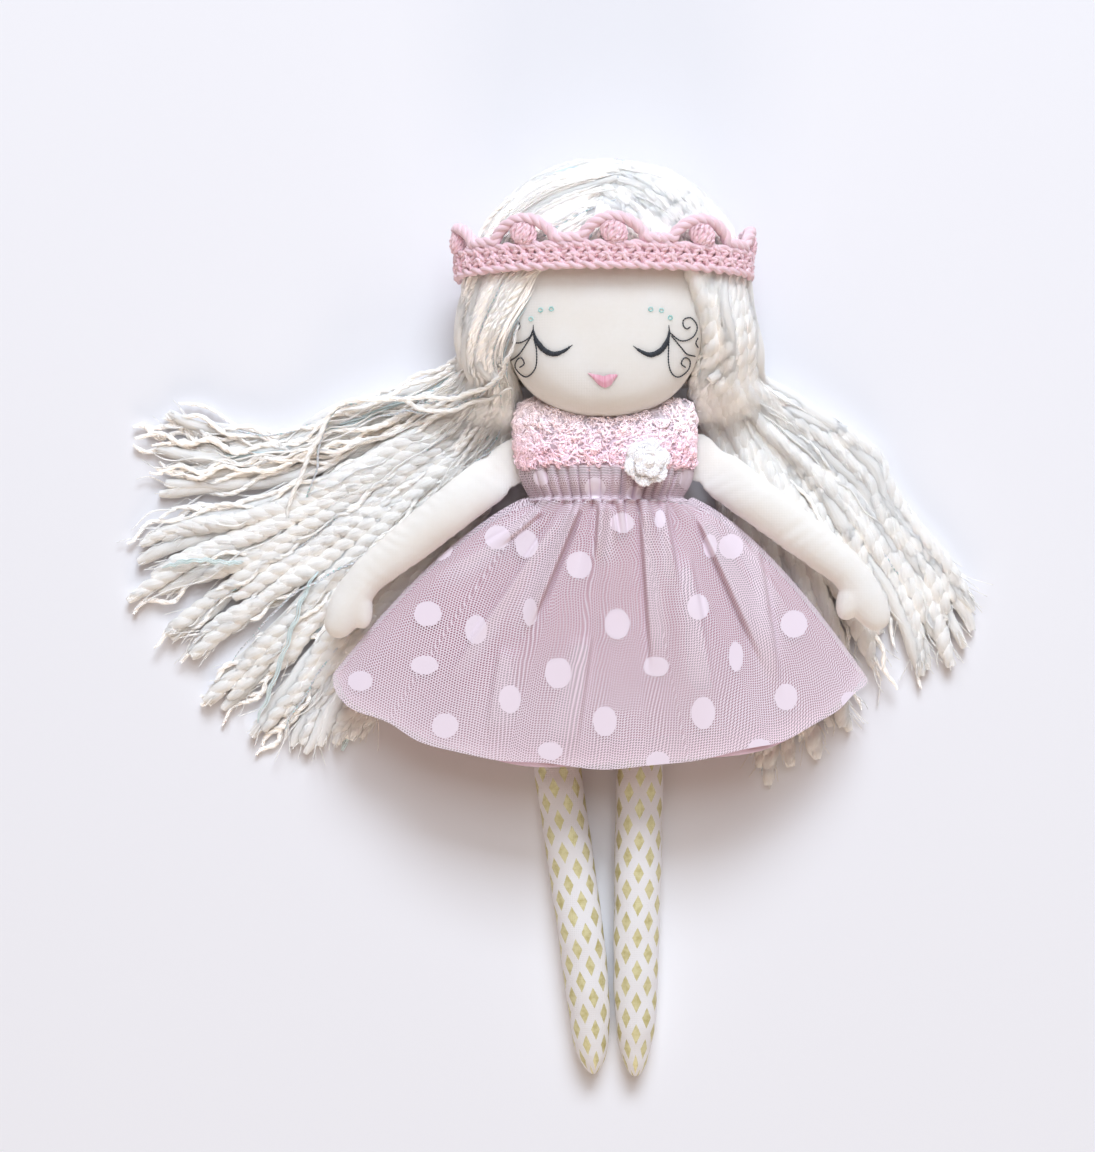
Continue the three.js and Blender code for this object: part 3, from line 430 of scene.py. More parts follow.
def yarn_tree():
    """Plies wound round each curve, as thick as the curve's own radius says."""
    sizes = [("Plies", "Int", 2), ("Twist", "Float", 0.013), ("Sampling", "Float", 0.0015)]
    sizes += [("Sides", "Int", 6), ("Apart", "Float", 0.46), ("Seed", "Int", 3)]
    sizes += [("Material", "Material", None)]
    tree, given = new_tree("twisted_yarn", sizes)
    steps = {"Curve": given["Geometry"], "Length": given["Sampling"]}
    even = add(tree, "GeometryNodeResampleCurve", steps, mode="LENGTH")
    index = add(tree, "GeometryNodeInputIndex")
    chosen = add(tree, "FunctionNodeRandomValue", {"ID": index, "Seed": given["Seed"]}, data_type="FLOAT")
    own = {"Geometry": even, "Name": "strand", "Value": chosen.outputs[1]}
    marked = add(tree, STORE, own, data_type="FLOAT", domain="CURVE")
    along = add(tree, "GeometryNodeSplineParameter").outputs["Length"]
    strand = add(tree, "GeometryNodeInputNamedAttribute", {"Name": "strand"}, data_type="FLOAT")
    # Each yarn's streaks start at another place.
    begin = add(tree, MATH, {0: strand, 1: 3.0}, operation="MULTIPLY")
    place = add(tree, MATH, {0: along, 1: begin}, operation="ADD")
    own = {"Geometry": marked, "Name": "along", "Value": place}
    measured = add(tree, STORE, own, data_type="FLOAT", domain="POINT")
    copies = {"Geometry": measured, "Amount": given["Plies"]}
    plies = add(tree, "GeometryNodeDuplicateElements", copies, domain="SPLINE")
    turns = add(tree, MATH, {0: along, 1: given["Twist"]}, operation="DIVIDE")
    duplicate = plies.outputs["Duplicate Index"]
    ply_share = add(tree, MATH, {0: duplicate, 1: given["Plies"]}, operation="DIVIDE")
    first_turn = add(tree, MATH, {0: strand, 1: 7.0}, operation="MULTIPLY")
    start = add(tree, MATH, {0: ply_share, 1: first_turn}, operation="ADD")
    turned = add(tree, MATH, {0: turns, 1: start}, operation="ADD")
    angle = add(tree, MATH, {0: turned, 1: 2 * math.pi}, operation="MULTIPLY")
    radius = add(tree, "GeometryNodeInputRadius")
    single = add(tree, MATH, {0: given["Plies"], 1: 1.5}, operation="LESS_THAN")
    several = add(tree, MATH, {0: 1.0, 1: single}, operation="SUBTRACT")
    off_share = add(tree, MATH, {0: several, 1: given["Apart"]}, operation="MULTIPLY")
    reach = add(tree, MATH, {0: radius, 1: off_share}, operation="MULTIPLY")
    normal = add(tree, "GeometryNodeInputNormal")
    tangent = add(tree, "GeometryNodeInputTangent")
    side = add(tree, "ShaderNodeVectorMath", {0: tangent, 1: normal}, operation="CROSS_PRODUCT")
    outward = {}
    for key, (direction, wave) in enumerate(((normal, "COSINE"), (side, "SINE"))):
        swing = add(tree, MATH, {0: angle}, operation=wave)
        share = add(tree, MATH, {0: swing, 1: reach}, operation="MULTIPLY")
        part = {0: direction, "Scale": share}
        outward[key] = add(tree, "ShaderNodeVectorMath", part, operation="SCALE")
    offset = add(tree, "ShaderNodeVectorMath", outward, operation="ADD")
    wound = add(tree, "GeometryNodeSetPosition", {"Geometry": plies, "Offset": offset})
    circle = {"Resolution": given["Sides"], "Radius": 1.0}
    ring = add(tree, "GeometryNodeCurvePrimitiveCircle", circle, mode="RADIUS")
    own = {"Geometry": ring, "Name": "around", "Value": add(tree, "GeometryNodeInputPosition")}
    around = add(tree, STORE, own, data_type="FLOAT_VECTOR", domain="POINT")
    thin_share = add(tree, MATH, {0: 1.04, 1: off_share}, operation="SUBTRACT")
    thickness = add(tree, MATH, {0: radius, 1: thin_share}, operation="MULTIPLY")
    skin = {"Curve": wound, "Profile Curve": around, "Scale": thickness, "Fill Caps": True}
    tube = add(tree, "GeometryNodeCurveToMesh", skin)
    smooth = add(tree, "GeometryNodeSetShadeSmooth", {"Geometry": tube})
    real = add(tree, "GeometryNodeRealizeInstances", {"Geometry": smooth})
    dyed = add(tree, "GeometryNodeSetMaterial", {"Geometry": real, "Material": given["Material"]})
    add(tree, "NodeGroupOutput", {"Geometry": dyed})
    return tree


def scatter_tree():
    """One small shape set at every point of a mesh, turned by the point's own turn and size."""
    sizes = [("Shape", "Object", None), ("Material", "Material", None), ("Seed", "Int", 5)]
    tree, given = new_tree("set_on_points", sizes)
    points = add(tree, "GeometryNodeMeshToPoints", {"Mesh": given["Geometry"]})
    shape = add(tree, "GeometryNodeObjectInfo", {"Object": given["Shape"]})
    turn = add(tree, "GeometryNodeInputNamedAttribute", {"Name": "turn"}, data_type="FLOAT_VECTOR")
    size = add(tree, "GeometryNodeInputNamedAttribute", {"Name": "size"}, data_type="FLOAT")
    turned = add(tree, "FunctionNodeEulerToRotation", {0: turn})
    each = {"Points": points, "Instance": shape.outputs["Geometry"], "Rotation": turned, "Scale": size}
    placed = add(tree, "GeometryNodeInstanceOnPoints", each)
    index = add(tree, "GeometryNodeInputIndex")
    chosen = add(tree, "FunctionNodeRandomValue", {"ID": index, "Seed": given["Seed"]}, data_type="FLOAT")
    own = {"Geometry": placed, "Name": "strand", "Value": chosen.outputs[1]}
    marked = add(tree, STORE, own, data_type="FLOAT", domain="INSTANCE")
    real = add(tree, "GeometryNodeRealizeInstances", {"Geometry": marked})
    smooth = add(tree, "GeometryNodeSetShadeSmooth", {"Geometry": real})
    dyed = add(tree, "GeometryNodeSetMaterial", {"Geometry": smooth, "Material": given["Material"]})
    add(tree, "NodeGroupOutput", {"Geometry": dyed})
    return tree


def object_of(name, data):
    """A new object in the scene."""
    made = bpy.data.objects.new(name, data)
    bpy.context.collection.objects.link(made)
    return made


def evaluated(piece, **settings):
    """The mesh that an object's modifiers make."""
    bpy.context.view_layer.update()
    graph = bpy.context.evaluated_depsgraph_get()
    return bpy.data.meshes.new_from_object(piece.evaluated_get(graph), depsgraph=graph, **settings)


def built(source, tree, name, sizes):
    """The plain mesh that a geometry tree makes from a source object, which is then removed."""
    modifier = source.modifiers.new("shape", "NODES")
    modifier.node_group = tree
    for item in tree.interface.items_tree:
        if item.in_out == "INPUT" and item.name in sizes:
            modifier[item.identifier] = sizes[item.name]
    mesh = evaluated(source, preserve_all_data_layers=True)
    mesh.name = name
    bpy.data.objects.remove(source)
    return object_of(name, mesh)


YARN = yarn_tree()
SCATTER = scatter_tree()


def curves_of(name, paths, radii):
    """One curve object with an open or closed line for each path of points."""
    data = bpy.data.curves.new(name, "CURVE")
    data.dimensions = "3D"
    for path, radius in zip(paths, radii):
        points = np.asarray(path, float)
        line = data.splines.new("POLY")
        line.points.add(len(points) - 1)
        rows = np.ones((len(points), 4))
        rows[:, :3] = points * MM
        line.points.foreach_set("co", rows.ravel())
        thick = np.broadcast_to(np.asarray(radius, float), len(points)) * MM
        line.points.foreach_set("radius", thick.astype(np.float32))
    return object_of(name + "_lines", data)


def yarns(name, paths, radii, dye, plies=2, twist=13.0, sampling=1.5, sides=6, apart=0.46):
    """Yarns or threads along paths, as one mesh. apart is how far the plies stand off the middle."""
    sizes = {
        "Plies": plies,
        "Twist": twist * MM,
        "Sampling": sampling * MM,
        "Sides": sides,
        "Apart": apart,
        "Material": dye,
    }
    return built(curves_of(name, paths, radii), YARN, name, sizes)


def mesh_piece(name, points, faces, dye):
    """A mesh from points in millimetres."""
    mesh = bpy.data.meshes.new(name)
    mesh.from_pydata((np.asarray(points, float) * MM).tolist(), [], faces)
    mesh.polygons.foreach_set("use_smooth", np.ones(len(mesh.polygons), bool))
    mesh.materials.append(dye)
    mesh.update()
    return object_of(name, mesh)


def scattered(name, places, turns, sizes, shape, dye):
    """Copies of a small shape, one at each place, as one mesh."""
    mesh = bpy.data.meshes.new(name)
    mesh.from_pydata((np.asarray(places) * MM).tolist(), [], [])
    turn = mesh.attributes.new("turn", "FLOAT_VECTOR", "POINT")
    turn.data.foreach_set("vector", np.asarray(turns, np.float32).ravel())
    size = mesh.attributes.new("size", "FLOAT", "POINT")
    size.data.foreach_set("value", np.asarray(sizes, np.float32))
    source = object_of(name + "_places", mesh)
    return built(source, SCATTER, name, {"Shape": shape, "Material": dye})


# Curves and forms


def smooth_line(points, count):
    """A smooth line through points, with count even steps."""
    p = np.asarray(points, float)
    p = np.vstack([2 * p[0] - p[1], p, 2 * p[-1] - p[-2]])
    fine = []
    for i in range(1, len(p) - 2):
        for t in np.linspace(0, 1, 12, endpoint=False):
            a, b, c, d = p[i - 1 : i + 3]
            curve = 2 * b + (c - a) * t + (2 * a - 5 * b + 4 * c - d) * t * t + (3 * b - a - 3 * c + d) * t**3
            fine.append(0.5 * curve)
    fine.append(p[-2])
    fine = np.array(fine)
    reach = np.concatenate([[0], np.cumsum(np.linalg.norm(np.diff(fine, axis=0), axis=1))])
    even = np.linspace(0, reach[-1], count)
    return np.stack([np.interp(even, reach, fine[:, i]) for i in range(fine.shape[1])], axis=1)


def oval_ring(centre, across, up, half_width, half_height, sides, fullness=2.0):
    """A ring of points round a centre: an oval, or squarer where fullness is over 2."""
    angle = 2 * np.pi * np.arange(sides) / sides
    c, s = np.cos(angle), np.sin(angle)
    c = np.sign(c) * np.abs(c) ** (2 / fullness)
    s = np.sign(s) * np.abs(s) ** (2 / fullness)
    return centre + np.outer(c * half_width, across) + np.outer(s * half_height, up)


def lofted(rings, closed=True):
    """Points and faces of a surface over rings, with its ends closed where asked."""
    sides = len(rings[0])
    points = [p for ring in rings for p in ring]
    faces = []
    for r in range(len(rings) - 1):
        for s in range(sides):
            n = (s + 1) % sides
            faces.append((r * sides + s, r * sides + n, (r + 1) * sides + n, (r + 1) * sides + s))
    if closed:
        for r in (0, len(rings) - 1):
            middle = len(points)
            points.append(np.mean(rings[r], axis=0))
            for s in range(sides):
                n = (s + 1) % sides
                face = (middle, r * sides + n, r * sides + s)
                faces.append(face if r == 0 else face[::-1])
    return np.array(points), faces


def turned_out(piece):
    """Makes a closed mesh's faces point outwards."""
    mesh = bmesh.new()
    mesh.from_mesh(piece.data)
    bmesh.ops.remove_doubles(mesh, verts=mesh.verts, dist=1e-6)
    bmesh.ops.recalc_face_normals(mesh, faces=mesh.faces)
    if mesh.calc_volume(signed=True) < 0:
        bmesh.ops.reverse_faces(mesh, faces=mesh.faces)
    mesh.to_mesh(piece.data)
    mesh.free()
    return piece


def read(mesh, kind):
    """The places or normals of a mesh's points."""
    values = np.zeros(len(mesh.vertices) * 3, np.float32)
    mesh.vertices.foreach_get(kind, values)
    return values.reshape(-1, 3).astype(float)


def points_of(piece):
    """A piece's points, in millimetres."""
    return read(piece.data, "co") / MM


def normals_of(piece):
    """The direction that the surface faces at each point."""
    return read(piece.data, "normal")


def set_points(piece, points):
    """Moves a piece's points to these places, in millimetres."""
    piece.data.vertices.foreach_set("co", (points * MM).astype(np.float32).ravel())
    piece.data.update()


CALICO_CLOTH = {
    "quality": 5,
    "mass": 0.15,
    "tension_stiffness": 40,
    "compression_stiffness": 40,
    "shear_stiffness": 20,
    "bending_stiffness": 2,
    "use_pressure": True,
    "uniform_pressure_force": 4.0,
}
CLOTH_FRAMES = 14
TABLE_GAP = 0.05


def stuffed(piece, voxel, cap):
    """Lets a form swell like cloth over stuffing, by at most cap millimetres, and keeps the result."""
    modifier = piece.modifiers.new("even", "REMESH")
    modifier.mode = "VOXEL"
    modifier.voxel_size = voxel * MM
    even = evaluated(piece)
    piece.modifiers.clear()
    dye = piece.data.materials[0]
    piece.data = even
    piece.data.materials.clear()
    piece.data.materials.append(dye)
    shape = points_of(piece)
    cloth = piece.modifiers.new("stuffing", "CLOTH")
    for setting, value in CALICO_CLOTH.items():
        setattr(cloth.settings, setting, value)
    cloth.settings.effector_weights.gravity = 0
    cloth.collision_settings.use_collision = False
    for number in range(1, CLOTH_FRAMES + 1):
        bpy.context.scene.frame_set(number)
    swollen = evaluated(piece)
    moved = read(swollen, "co") / MM - shape
    bpy.data.meshes.remove(swollen)
    piece.modifiers.clear()
    bpy.context.scene.frame_set(1)
    length = np.linalg.norm(moved, axis=1)
    share = np.minimum(1, cap / np.maximum(length, 1e-6))
    shape = shape + moved * share[:, None]
    shape[:, 2] = np.maximum(shape[:, 2], TABLE_GAP)
    set_points(piece, shape)
    finer = piece.modifiers.new("smooth", "SUBSURF")
    finer.levels = 1
    finer.render_levels = 1
    fine = evaluated(piece)
    piece.modifiers.clear()
    piece.data = fine
    fine.polygons.foreach_set("use_smooth", np.ones(len(fine.polygons), bool))
    fine.update()
    return piece


def ripples(points, period, seed):
    """Smooth random waves over space, between about -1 and 1."""
    dice = np.random.default_rng(seed)
    total = np.zeros(len(points))
    for _ in range(9):
        direction = dice.normal(size=3)
        direction /= np.linalg.norm(direction)
        wave = 2 * np.pi / (period * dice.uniform(0.7, 1.5))
        total += np.sin(points @ direction * wave + dice.uniform(0, 6.3))
    return total / 3.5


# Stuffed cotton body

head_size = {"x": -1.0, "y": 57.0, "z": 33.0, "width": 90.0, "height": 97.0, "thickness": 54.0}
# The form starts this much inside the cloth, which it reaches as it swells.
HEAD_INSET = 1.2
rings = []
for step in range(25):
    rise = math.sin(math.radians(-86 + 172 * step / 24))
    swell = (1 - abs(rise) ** 2.3) ** (1 / 2.3)
    centre = np.array([head_size["x"], head_size["y"] + rise * head_size["height"] / 2, head_size["z"]])
    half = (head_size["width"] / 2 - HEAD_INSET) * swell
    flat_front = (1 - abs(rise) ** 4.0) ** (1 / 4.0)
    deep = (head_size["thickness"] / 2 - HEAD_INSET) * flat_front
    rings.append(oval_ring(centre, (1, 0, 0), (0, 0, 1), half, deep, 40, 2.8))
head = turned_out(mesh_piece("head_stuffed", *lofted(rings), calico))
head = stuffed(head, 2.6, cap=HEAD_INSET)
shape = points_of(head)
out = normals_of(head)
side_seam = np.exp(-(((shape[:, 2] - head_size["z"]) / 1.3) ** 2))
shape += out * (0.16 * ripples(shape, 26, 1) - 0.55 * side_seam)[:, None]
set_points(head, shape)
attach(head, "body")
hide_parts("head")

# Down the body: place as a share, and width, thickness and height of the middle as shares.
TORSO = [
    [0, 0.42, 0.6, 1], [0.06, 0.42, 0.62, 1], [0.1, 0.62, 0.74, 1], [0.15, 0.92, 0.87, 1],
    [0.22, 1.02, 0.95, 1], [0.33, 0.93, 1, 1], [0.45, 0.89, 1, 1], [0.6, 0.95, 1, 1],
    [0.75, 1.02, 0.96, 1], [0.86, 1.03, 0.8, 0.85], [0.93, 1, 0.53, 0.55], [0.975, 0.97, 0.25, 0.2],
    [1, 0.96, 0.05, 0],
]
NECK_Y, BODY_LENGTH, BODY_HALF_WIDTH, BODY_HALF_DEPTH = 13.0, 108, 31, 17.5
FLAT_HALF = 0.8
rings = []
for place, width, thickness, height in smooth_line(TORSO, 34):
    centre = np.array([0, NECK_Y - place * BODY_LENGTH, 12 + 10.5 * height])
    deep = max(thickness * BODY_HALF_DEPTH, FLAT_HALF)
    rings.append(oval_ring(centre, (1, 0, 0), (0, 0, 1), width * BODY_HALF_WIDTH, deep, 32, 2.2))
torso = turned_out(mesh_piece("torso_stuffed", *lofted(rings), calico))
shape = points_of(torso)
set_points(torso, shape + normals_of(torso) * (0.2 * ripples(shape, 18, 2))[:, None])
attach(torso, "body")
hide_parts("torso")

# Down the arm and the thumb: place, width and thickness as shares.
ARM = [
    [0, 1, 0.1], [0.05, 1.02, 0.2], [0.12, 1.08, 0.62], [0.22, 1.06, 0.92], [0.4, 1.02, 1],
    [0.6, 0.93, 0.97], [0.76, 0.86, 0.9], [0.87, 0.88, 0.88], [0.95, 0.72, 0.7], [0.985, 0.48, 0.48],
    [1, 0.2, 0.2],
]
THUMB = [[0, 0.9, 0.9], [0.4, 1, 1], [0.75, 0.86, 0.8], [0.93, 0.55, 0.5], [1, 0.2, 0.2]]
SHOULDERS = {
    "left": {"x": -42.5, "y": -11.0, "heading": 218.2, "turn": 1, "thumb": 34.0},
    "right": {"x": 42.5, "y": -9.0, "heading": -37.2, "turn": -1, "thumb": 46.0},
}
ARM_LENGTH, ARM_HALF_WIDTH, ARM_HALF_DEPTH = 107, 10, 8.25
THUMB_LENGTH, THUMB_HALF = 18, 6.25
SHOULDER_Z, ARM_RISE = 23, 2.5


def arm_place(arm, along):
    """A point on an arm's middle line, the direction across it and its heading."""
    start = math.radians(arm["heading"])
    wrist = 0.74 * ARM_LENGTH
    past = max(along - wrist, 0)
    angle = start + (arm["turn"] * math.radians(24) if past > 0 else 0)
    reach = min(along, wrist)
    x = arm["x"] + reach * math.cos(start) + past * math.cos(angle)
    y = arm["y"] + reach * math.sin(start) + past * math.sin(angle)
    rise = min(max(along, 0) / (0.25 * ARM_LENGTH), 1)
    across = np.array([-math.sin(angle), math.cos(angle), 0])
    return np.array([x, y, SHOULDER_Z + ARM_RISE * rise]), across, angle


def joined(name, pieces):
    """One object from several."""
    bpy.ops.object.select_all(action="DESELECT")
    for piece in pieces:
        piece.select_set(True)
    bpy.context.view_layer.objects.active = pieces[0]
    bpy.ops.object.join()
    pieces[0].name = name
    return pieces[0]


def arm_piece(side):
    """A stuffed arm with its mitten hand and its thumb, flat at its top."""
    arm = SHOULDERS[side]
    rings = []
    middle, across, angle = arm_place(arm, 0)
    forward = np.array([math.cos(angle), math.sin(angle), 0])
    for reach, width in ((-15.0, 0.62), (-12.0, 0.76), (-8.0, 0.9), (-3.0, 0.98)):
        centre = middle + forward * reach
        rings.append(oval_ring(centre, across, (0, 0, 1), width * ARM_HALF_WIDTH, FLAT_HALF, 28))
    for place, width, thickness in smooth_line(ARM, 30):
        centre, across, _ = arm_place(arm, place * ARM_LENGTH)
        deep = max(thickness * ARM_HALF_DEPTH - 0.5, FLAT_HALF)
        rings.append(oval_ring(centre, across, (0, 0, 1), width * ARM_HALF_WIDTH - 0.5, deep, 28))
    limb = turned_out(mesh_piece(side + "_arm_limb", *lofted(rings), calico))
    centre, _, angle = arm_place(arm, 83)
    angle += arm["turn"] * math.radians(arm["thumb"])
    forward = np.array([math.cos(angle), math.sin(angle), 0])
    across = np.array([-forward[1], forward[0], 0])
    rings = []
    for place, width, thickness in smooth_line(THUMB, 12):
        half, deep = width * THUMB_HALF - 0.4, thickness * THUMB_HALF - 0.4
        rings.append(oval_ring(centre + forward * place * THUMB_LENGTH, across, (0, 0, 1), half, deep, 20))
    lobe = turned_out(mesh_piece(side + "_arm_lobe", *lofted(rings), calico))
    limb = stuffed(joined(side + "_arm_stuffed", [limb, lobe]), 1.15, cap=0.8)
    shape = points_of(limb)
    out = normals_of(limb)
    start = math.radians(arm["heading"])
    along = (shape[:, 0] - arm["x"]) * math.cos(start) + (shape[:, 1] - arm["y"]) * math.sin(start)
    sideways = (shape[:, 1] - arm["y"]) * math.cos(start) - (shape[:, 0] - arm["x"]) * math.sin(start)
    middle_z = SHOULDER_Z + ARM_RISE * np.clip(along / 27, 0, 1)
    seam = np.exp(-(((shape[:, 2] - middle_z) / 0.9) ** 2)) * np.clip((along - 12) / 10, 0, 1)
    # Soft creases lie across the forearm, where the cloth was pushed together as it was filled.
    slant = along + 0.35 * arm["turn"] * sideways + 1.6 * ripples(shape, 22, 11)
    creased = np.exp(-(((along - 52) / 24) ** 2)) + 0.5 * np.exp(-(((along - 12) / 9) ** 2))
    crease = np.sin(slant * 2 * np.pi / 5.4) * creased * (0.5 + 0.5 * ripples(shape, 17, 12))
    shape += out * (0.2 * crease + 0.16 * ripples(shape, 13, 13) - 0.4 * seam)[:, None]
    set_points(limb, shape)
    forward = np.array([math.cos(start), math.sin(start), 0])
    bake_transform(limb)
    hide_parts(side + "_arm", side + "_arm_top")


arm_piece("left")
arm_piece("right")

# Down the leg: place, width, thickness, bow to the side and height off the table, as shares.
LEG = [
    [0, 1, 0.08, 0, 0], [0.05, 1, 0.13, 0.35, 0], [0.12, 1.02, 0.5, 0.8, 0], [0.2, 1.01, 0.82, 1, 0],
    [0.27, 1, 0.97, 1, 0.5], [0.34, 1, 1, 0.85, 1], [0.46, 1, 1, 0.6, 1], [0.6, 0.99, 1, 0.3, 1],
    [0.74, 0.95, 0.99, 0.08, 1], [0.84, 0.89, 0.95, 0, 1], [0.91, 0.77, 0.83, 0, 1],
    [0.96, 0.56, 0.6, 0, 1], [0.99, 0.3, 0.3, 0, 1], [1, 0.12, 0.12, 0, 1],
]
HIP_Y = -96.1
LEG_LENGTH, LEG_HALF_WIDTH, LEG_HALF_DEPTH, TOP_Z = 181, 10.8, 9.75, 12.4
PRINT_RADIUS = 11.2
HIPS = {
    "left": {"x": -17.0, "lean": 3.86, "bow": -6.5, "shift": 3.1, "drop": 4.0},
    "right": {"x": 14.5, "lean": -0.4, "bow": 1.0, "shift": 0.0, "drop": 9.0},
}


def leg_line(hip, place, bow, height, thickness):
    """A point on a leg's middle line, and the direction across it."""
    lean = math.radians(hip["lean"])
    down = np.array([math.sin(lean), -math.cos(lean), 0])
    across = np.array([math.cos(lean), math.sin(lean), 0])
    on_surface = max(thickness, 0.8) * LEG_HALF_DEPTH - 0.5
    centre = np.array([hip["x"], HIP_Y, TOP_Z + (on_surface - TOP_Z) * height])
    return centre + down * place * LEG_LENGTH + across * bow * hip["bow"], across


def leg_piece(side):
    """A stuffed leg of printed cotton, flat where it leaves the body's bottom seam."""
    hip = HIPS[side]
    rings, line = [], []
    for place, width, thickness, bow, height in smooth_line(LEG, 48):
        centre, across = leg_line(hip, place, bow, height, thickness)
        deep = max(thickness * LEG_HALF_DEPTH - 0.4, 0.7)
        rings.append(oval_ring(centre, across, (0, 0, 1), width * LEG_HALF_WIDTH - 0.4, deep, 30))
        line.append(centre)
    leg = stuffed(turned_out(mesh_piece(side + "_leg_stuffed", *lofted(rings), foil_print)), 1.5, cap=0.7)
    shape = points_of(leg)
    out = normals_of(leg)
    line = np.array(line)
    centre_x = np.interp(-shape[:, 1], -line[:, 1], line[:, 0])
    centre_z = np.interp(-shape[:, 1], -line[:, 1], line[:, 2])
    seam = np.exp(-(((shape[:, 2] - centre_z) / 0.8) ** 2)) * (shape[:, 1] < -115)
    soft = 0.22 * ripples(shape, 16, 21 if side == "left" else 22)
    dent = np.zeros(len(shape))
    # The right leg has a seam down its front.
    if side == "right":
        near = np.exp(-(((shape[:, 0] - centre_x) / 0.45) ** 2)) * (shape[:, 2] > centre_z)
        dent = near * np.clip((shape[:, 1] + 183) / 6, 0, 1)
    shape += out * (soft - 0.3 * seam - 0.7 * dent)[:, None]
    shape[:, 2] = np.maximum(shape[:, 2], TABLE_GAP)
    set_points(leg, shape)
    angle = np.arctan2(shape[:, 0] - centre_x, shape[:, 2] - centre_z)
    lay_print(leg, angle * PRINT_RADIUS + hip["shift"], -shape[:, 1] + hip["drop"])
    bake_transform(leg)
    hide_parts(side + "_leg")


def lay_print(piece, across, along):
    """Places the print on the cloth. A face that crosses the back seam keeps its whole width."""
    mesh = piece.data
    layer = mesh.uv_layers.new(name="cloth")
    uv = np.zeros((len(mesh.loops), 2), np.float32)
    whole = 2 * np.pi * PRINT_RADIUS
    for face in mesh.polygons:
        corners = list(face.loop_indices)
        values = np.array([across[mesh.loops[i].vertex_index] for i in corners])
        if values.max() - values.min() > whole / 2:
            values = np.where(values < 0, values + whole, values)
        for i, value in zip(corners, values):
            uv[i] = (value, along[mesh.loops[i].vertex_index])
    layer.data.foreach_set("uv", uv.ravel())


leg_piece("left")
leg_piece("right")

tops = []
for side in ("left", "right"):
    x = HIPS[side]["x"]
    rings = []
    for y, half in ((-94.5, 15.5), (-98, 15), (-102, 13.6), (-106, 11.8)):
        rings.append(oval_ring(np.array([x, y, 12.0]), (1, 0, 0), (0, 0, 1), half, 0.7, 24, 3.0))
    tops.append(turned_out(mesh_piece("leg_top_" + side, *lofted(rings), foil_print)))
leg_tops = joined("leg_tops_sewn", tops)
lay_print(leg_tops, points_of(leg_tops)[:, 0], points_of(leg_tops)[:, 1])
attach(leg_tops, "hips")
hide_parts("leg_tops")


# Dress


def mixed(a, b, share):
    """The value this share of the way from a to b."""
    return a + (b - a) * share


SKIRT_TOP = -26.0
WAVE_HEIGHT = 2.6


def skirt_surface(place, angle):
    """The skirt's outside at a share down from the waist and an angle round it, for arrays."""
    front = np.maximum(np.sin(angle), 0)
    back = np.maximum(-np.sin(angle), 0)
    waves = 0.6 * np.sin(7 * angle + 0.8) + 0.4 * np.sin(11 * angle + 2)
    fold = WAVE_HEIGHT * np.minimum(place * 2.2, 1) * waves * np.sqrt(front)
    half_width = mixed(70, 230, place) / 2
    edge_y = SKIRT_TOP - 75 * place**1.45
    middle_y = SKIRT_TOP - (113 - np.where(back > 0, 14, 0)) * place
    top_z, bottom_z = mixed(44.4, 48, place), mixed(0.8, 0.4, place)
    edge_z = mixed(22.5, 20.5, place)
    back_power = mixed(1, 4, np.minimum(place * 2, 1))
    roll = 4 * (1 - (1 - back) ** 3)
    below = roll + (edge_z - bottom_z - 4) * back**back_power
    x = mixed(1.5, -3, place) + np.cos(angle) * (half_width + fold)
    y = mixed(edge_y, middle_y, np.abs(np.sin(angle)) ** 1.2)
    z = edge_z + (top_z - edge_z) * front**0.95 - below + fold * front
    return np.stack([x, y, z], axis=-1)


# Folds as the view shows them: from and to a pixel, width in pixels and height in millimetres.
# Each lies over to one side: lean 1 puts its steep side to the left of its run.
FOLDS = [
    (578, 510, 529, 628, 10, 4.2, 1), (557, 518, 449, 674, 7, 1.5, -1),
    (534, 519, 446, 568, 7, 1.2, -1), (600, 506, 596, 560, 7, 2.2, -1), (612, 506, 618, 545, 5, 1.4, 1),
    (641, 508, 652, 664, 8, 3.0, -1), (664, 506, 678, 585, 6, 2.4, 1),
    (699, 520, 766, 668, 13, 3.6, -1), (726, 512, 790, 610, 9, 1.6, 1), (757, 540, 780, 690, 9, 2.6, 1),
    (540, 512, 500, 545, 6, 1.8, 1), (690, 560, 716, 700, 12, 1.0, 1),
    (500, 650, 486, 735, 14, 1.0, -1), (590, 640, 575, 755, 16, 1.0, 1),
]


def beside_fold(at, x0, y0, x1, y1, lean):
    """How far pixels are along a fold, as a share of it, and to its gentle side, in pixels."""
    start, run = np.array([x0, y0]), np.array([x1 - x0, y1 - y0])
    length = np.linalg.norm(run)
    run = run / length
    along = (at - start) @ run / length
    across = (at - start) @ np.array([-run[1], run[0]]) * lean
    return along, across


def folded(points):
    """Raises and sinks the front of the cloth along the folds."""
    at = shown_at(points)
    raised = np.zeros(len(points))
    for x0, y0, x1, y1, width, height, lean in FOLDS:
        along, across = beside_fold(at, x0, y0, x1, y1, lean)
        fade = np.clip((along + 0.06) / 0.12, 0, 1) * np.clip((1.1 - along) / 0.5, 0, 1)
        fade = fade * fade * (3 - 2 * fade)
        gentle = np.exp(-((across / width) ** 2))
        steep = np.exp(-((across / 2.2) ** 2))
        ridge = np.where(across > 0, gentle, steep)
        groove = np.exp(-(((across + 3.6) / 2.0) ** 2))
        raised += fade * height * (ridge - 0.55 * groove)
    return raised


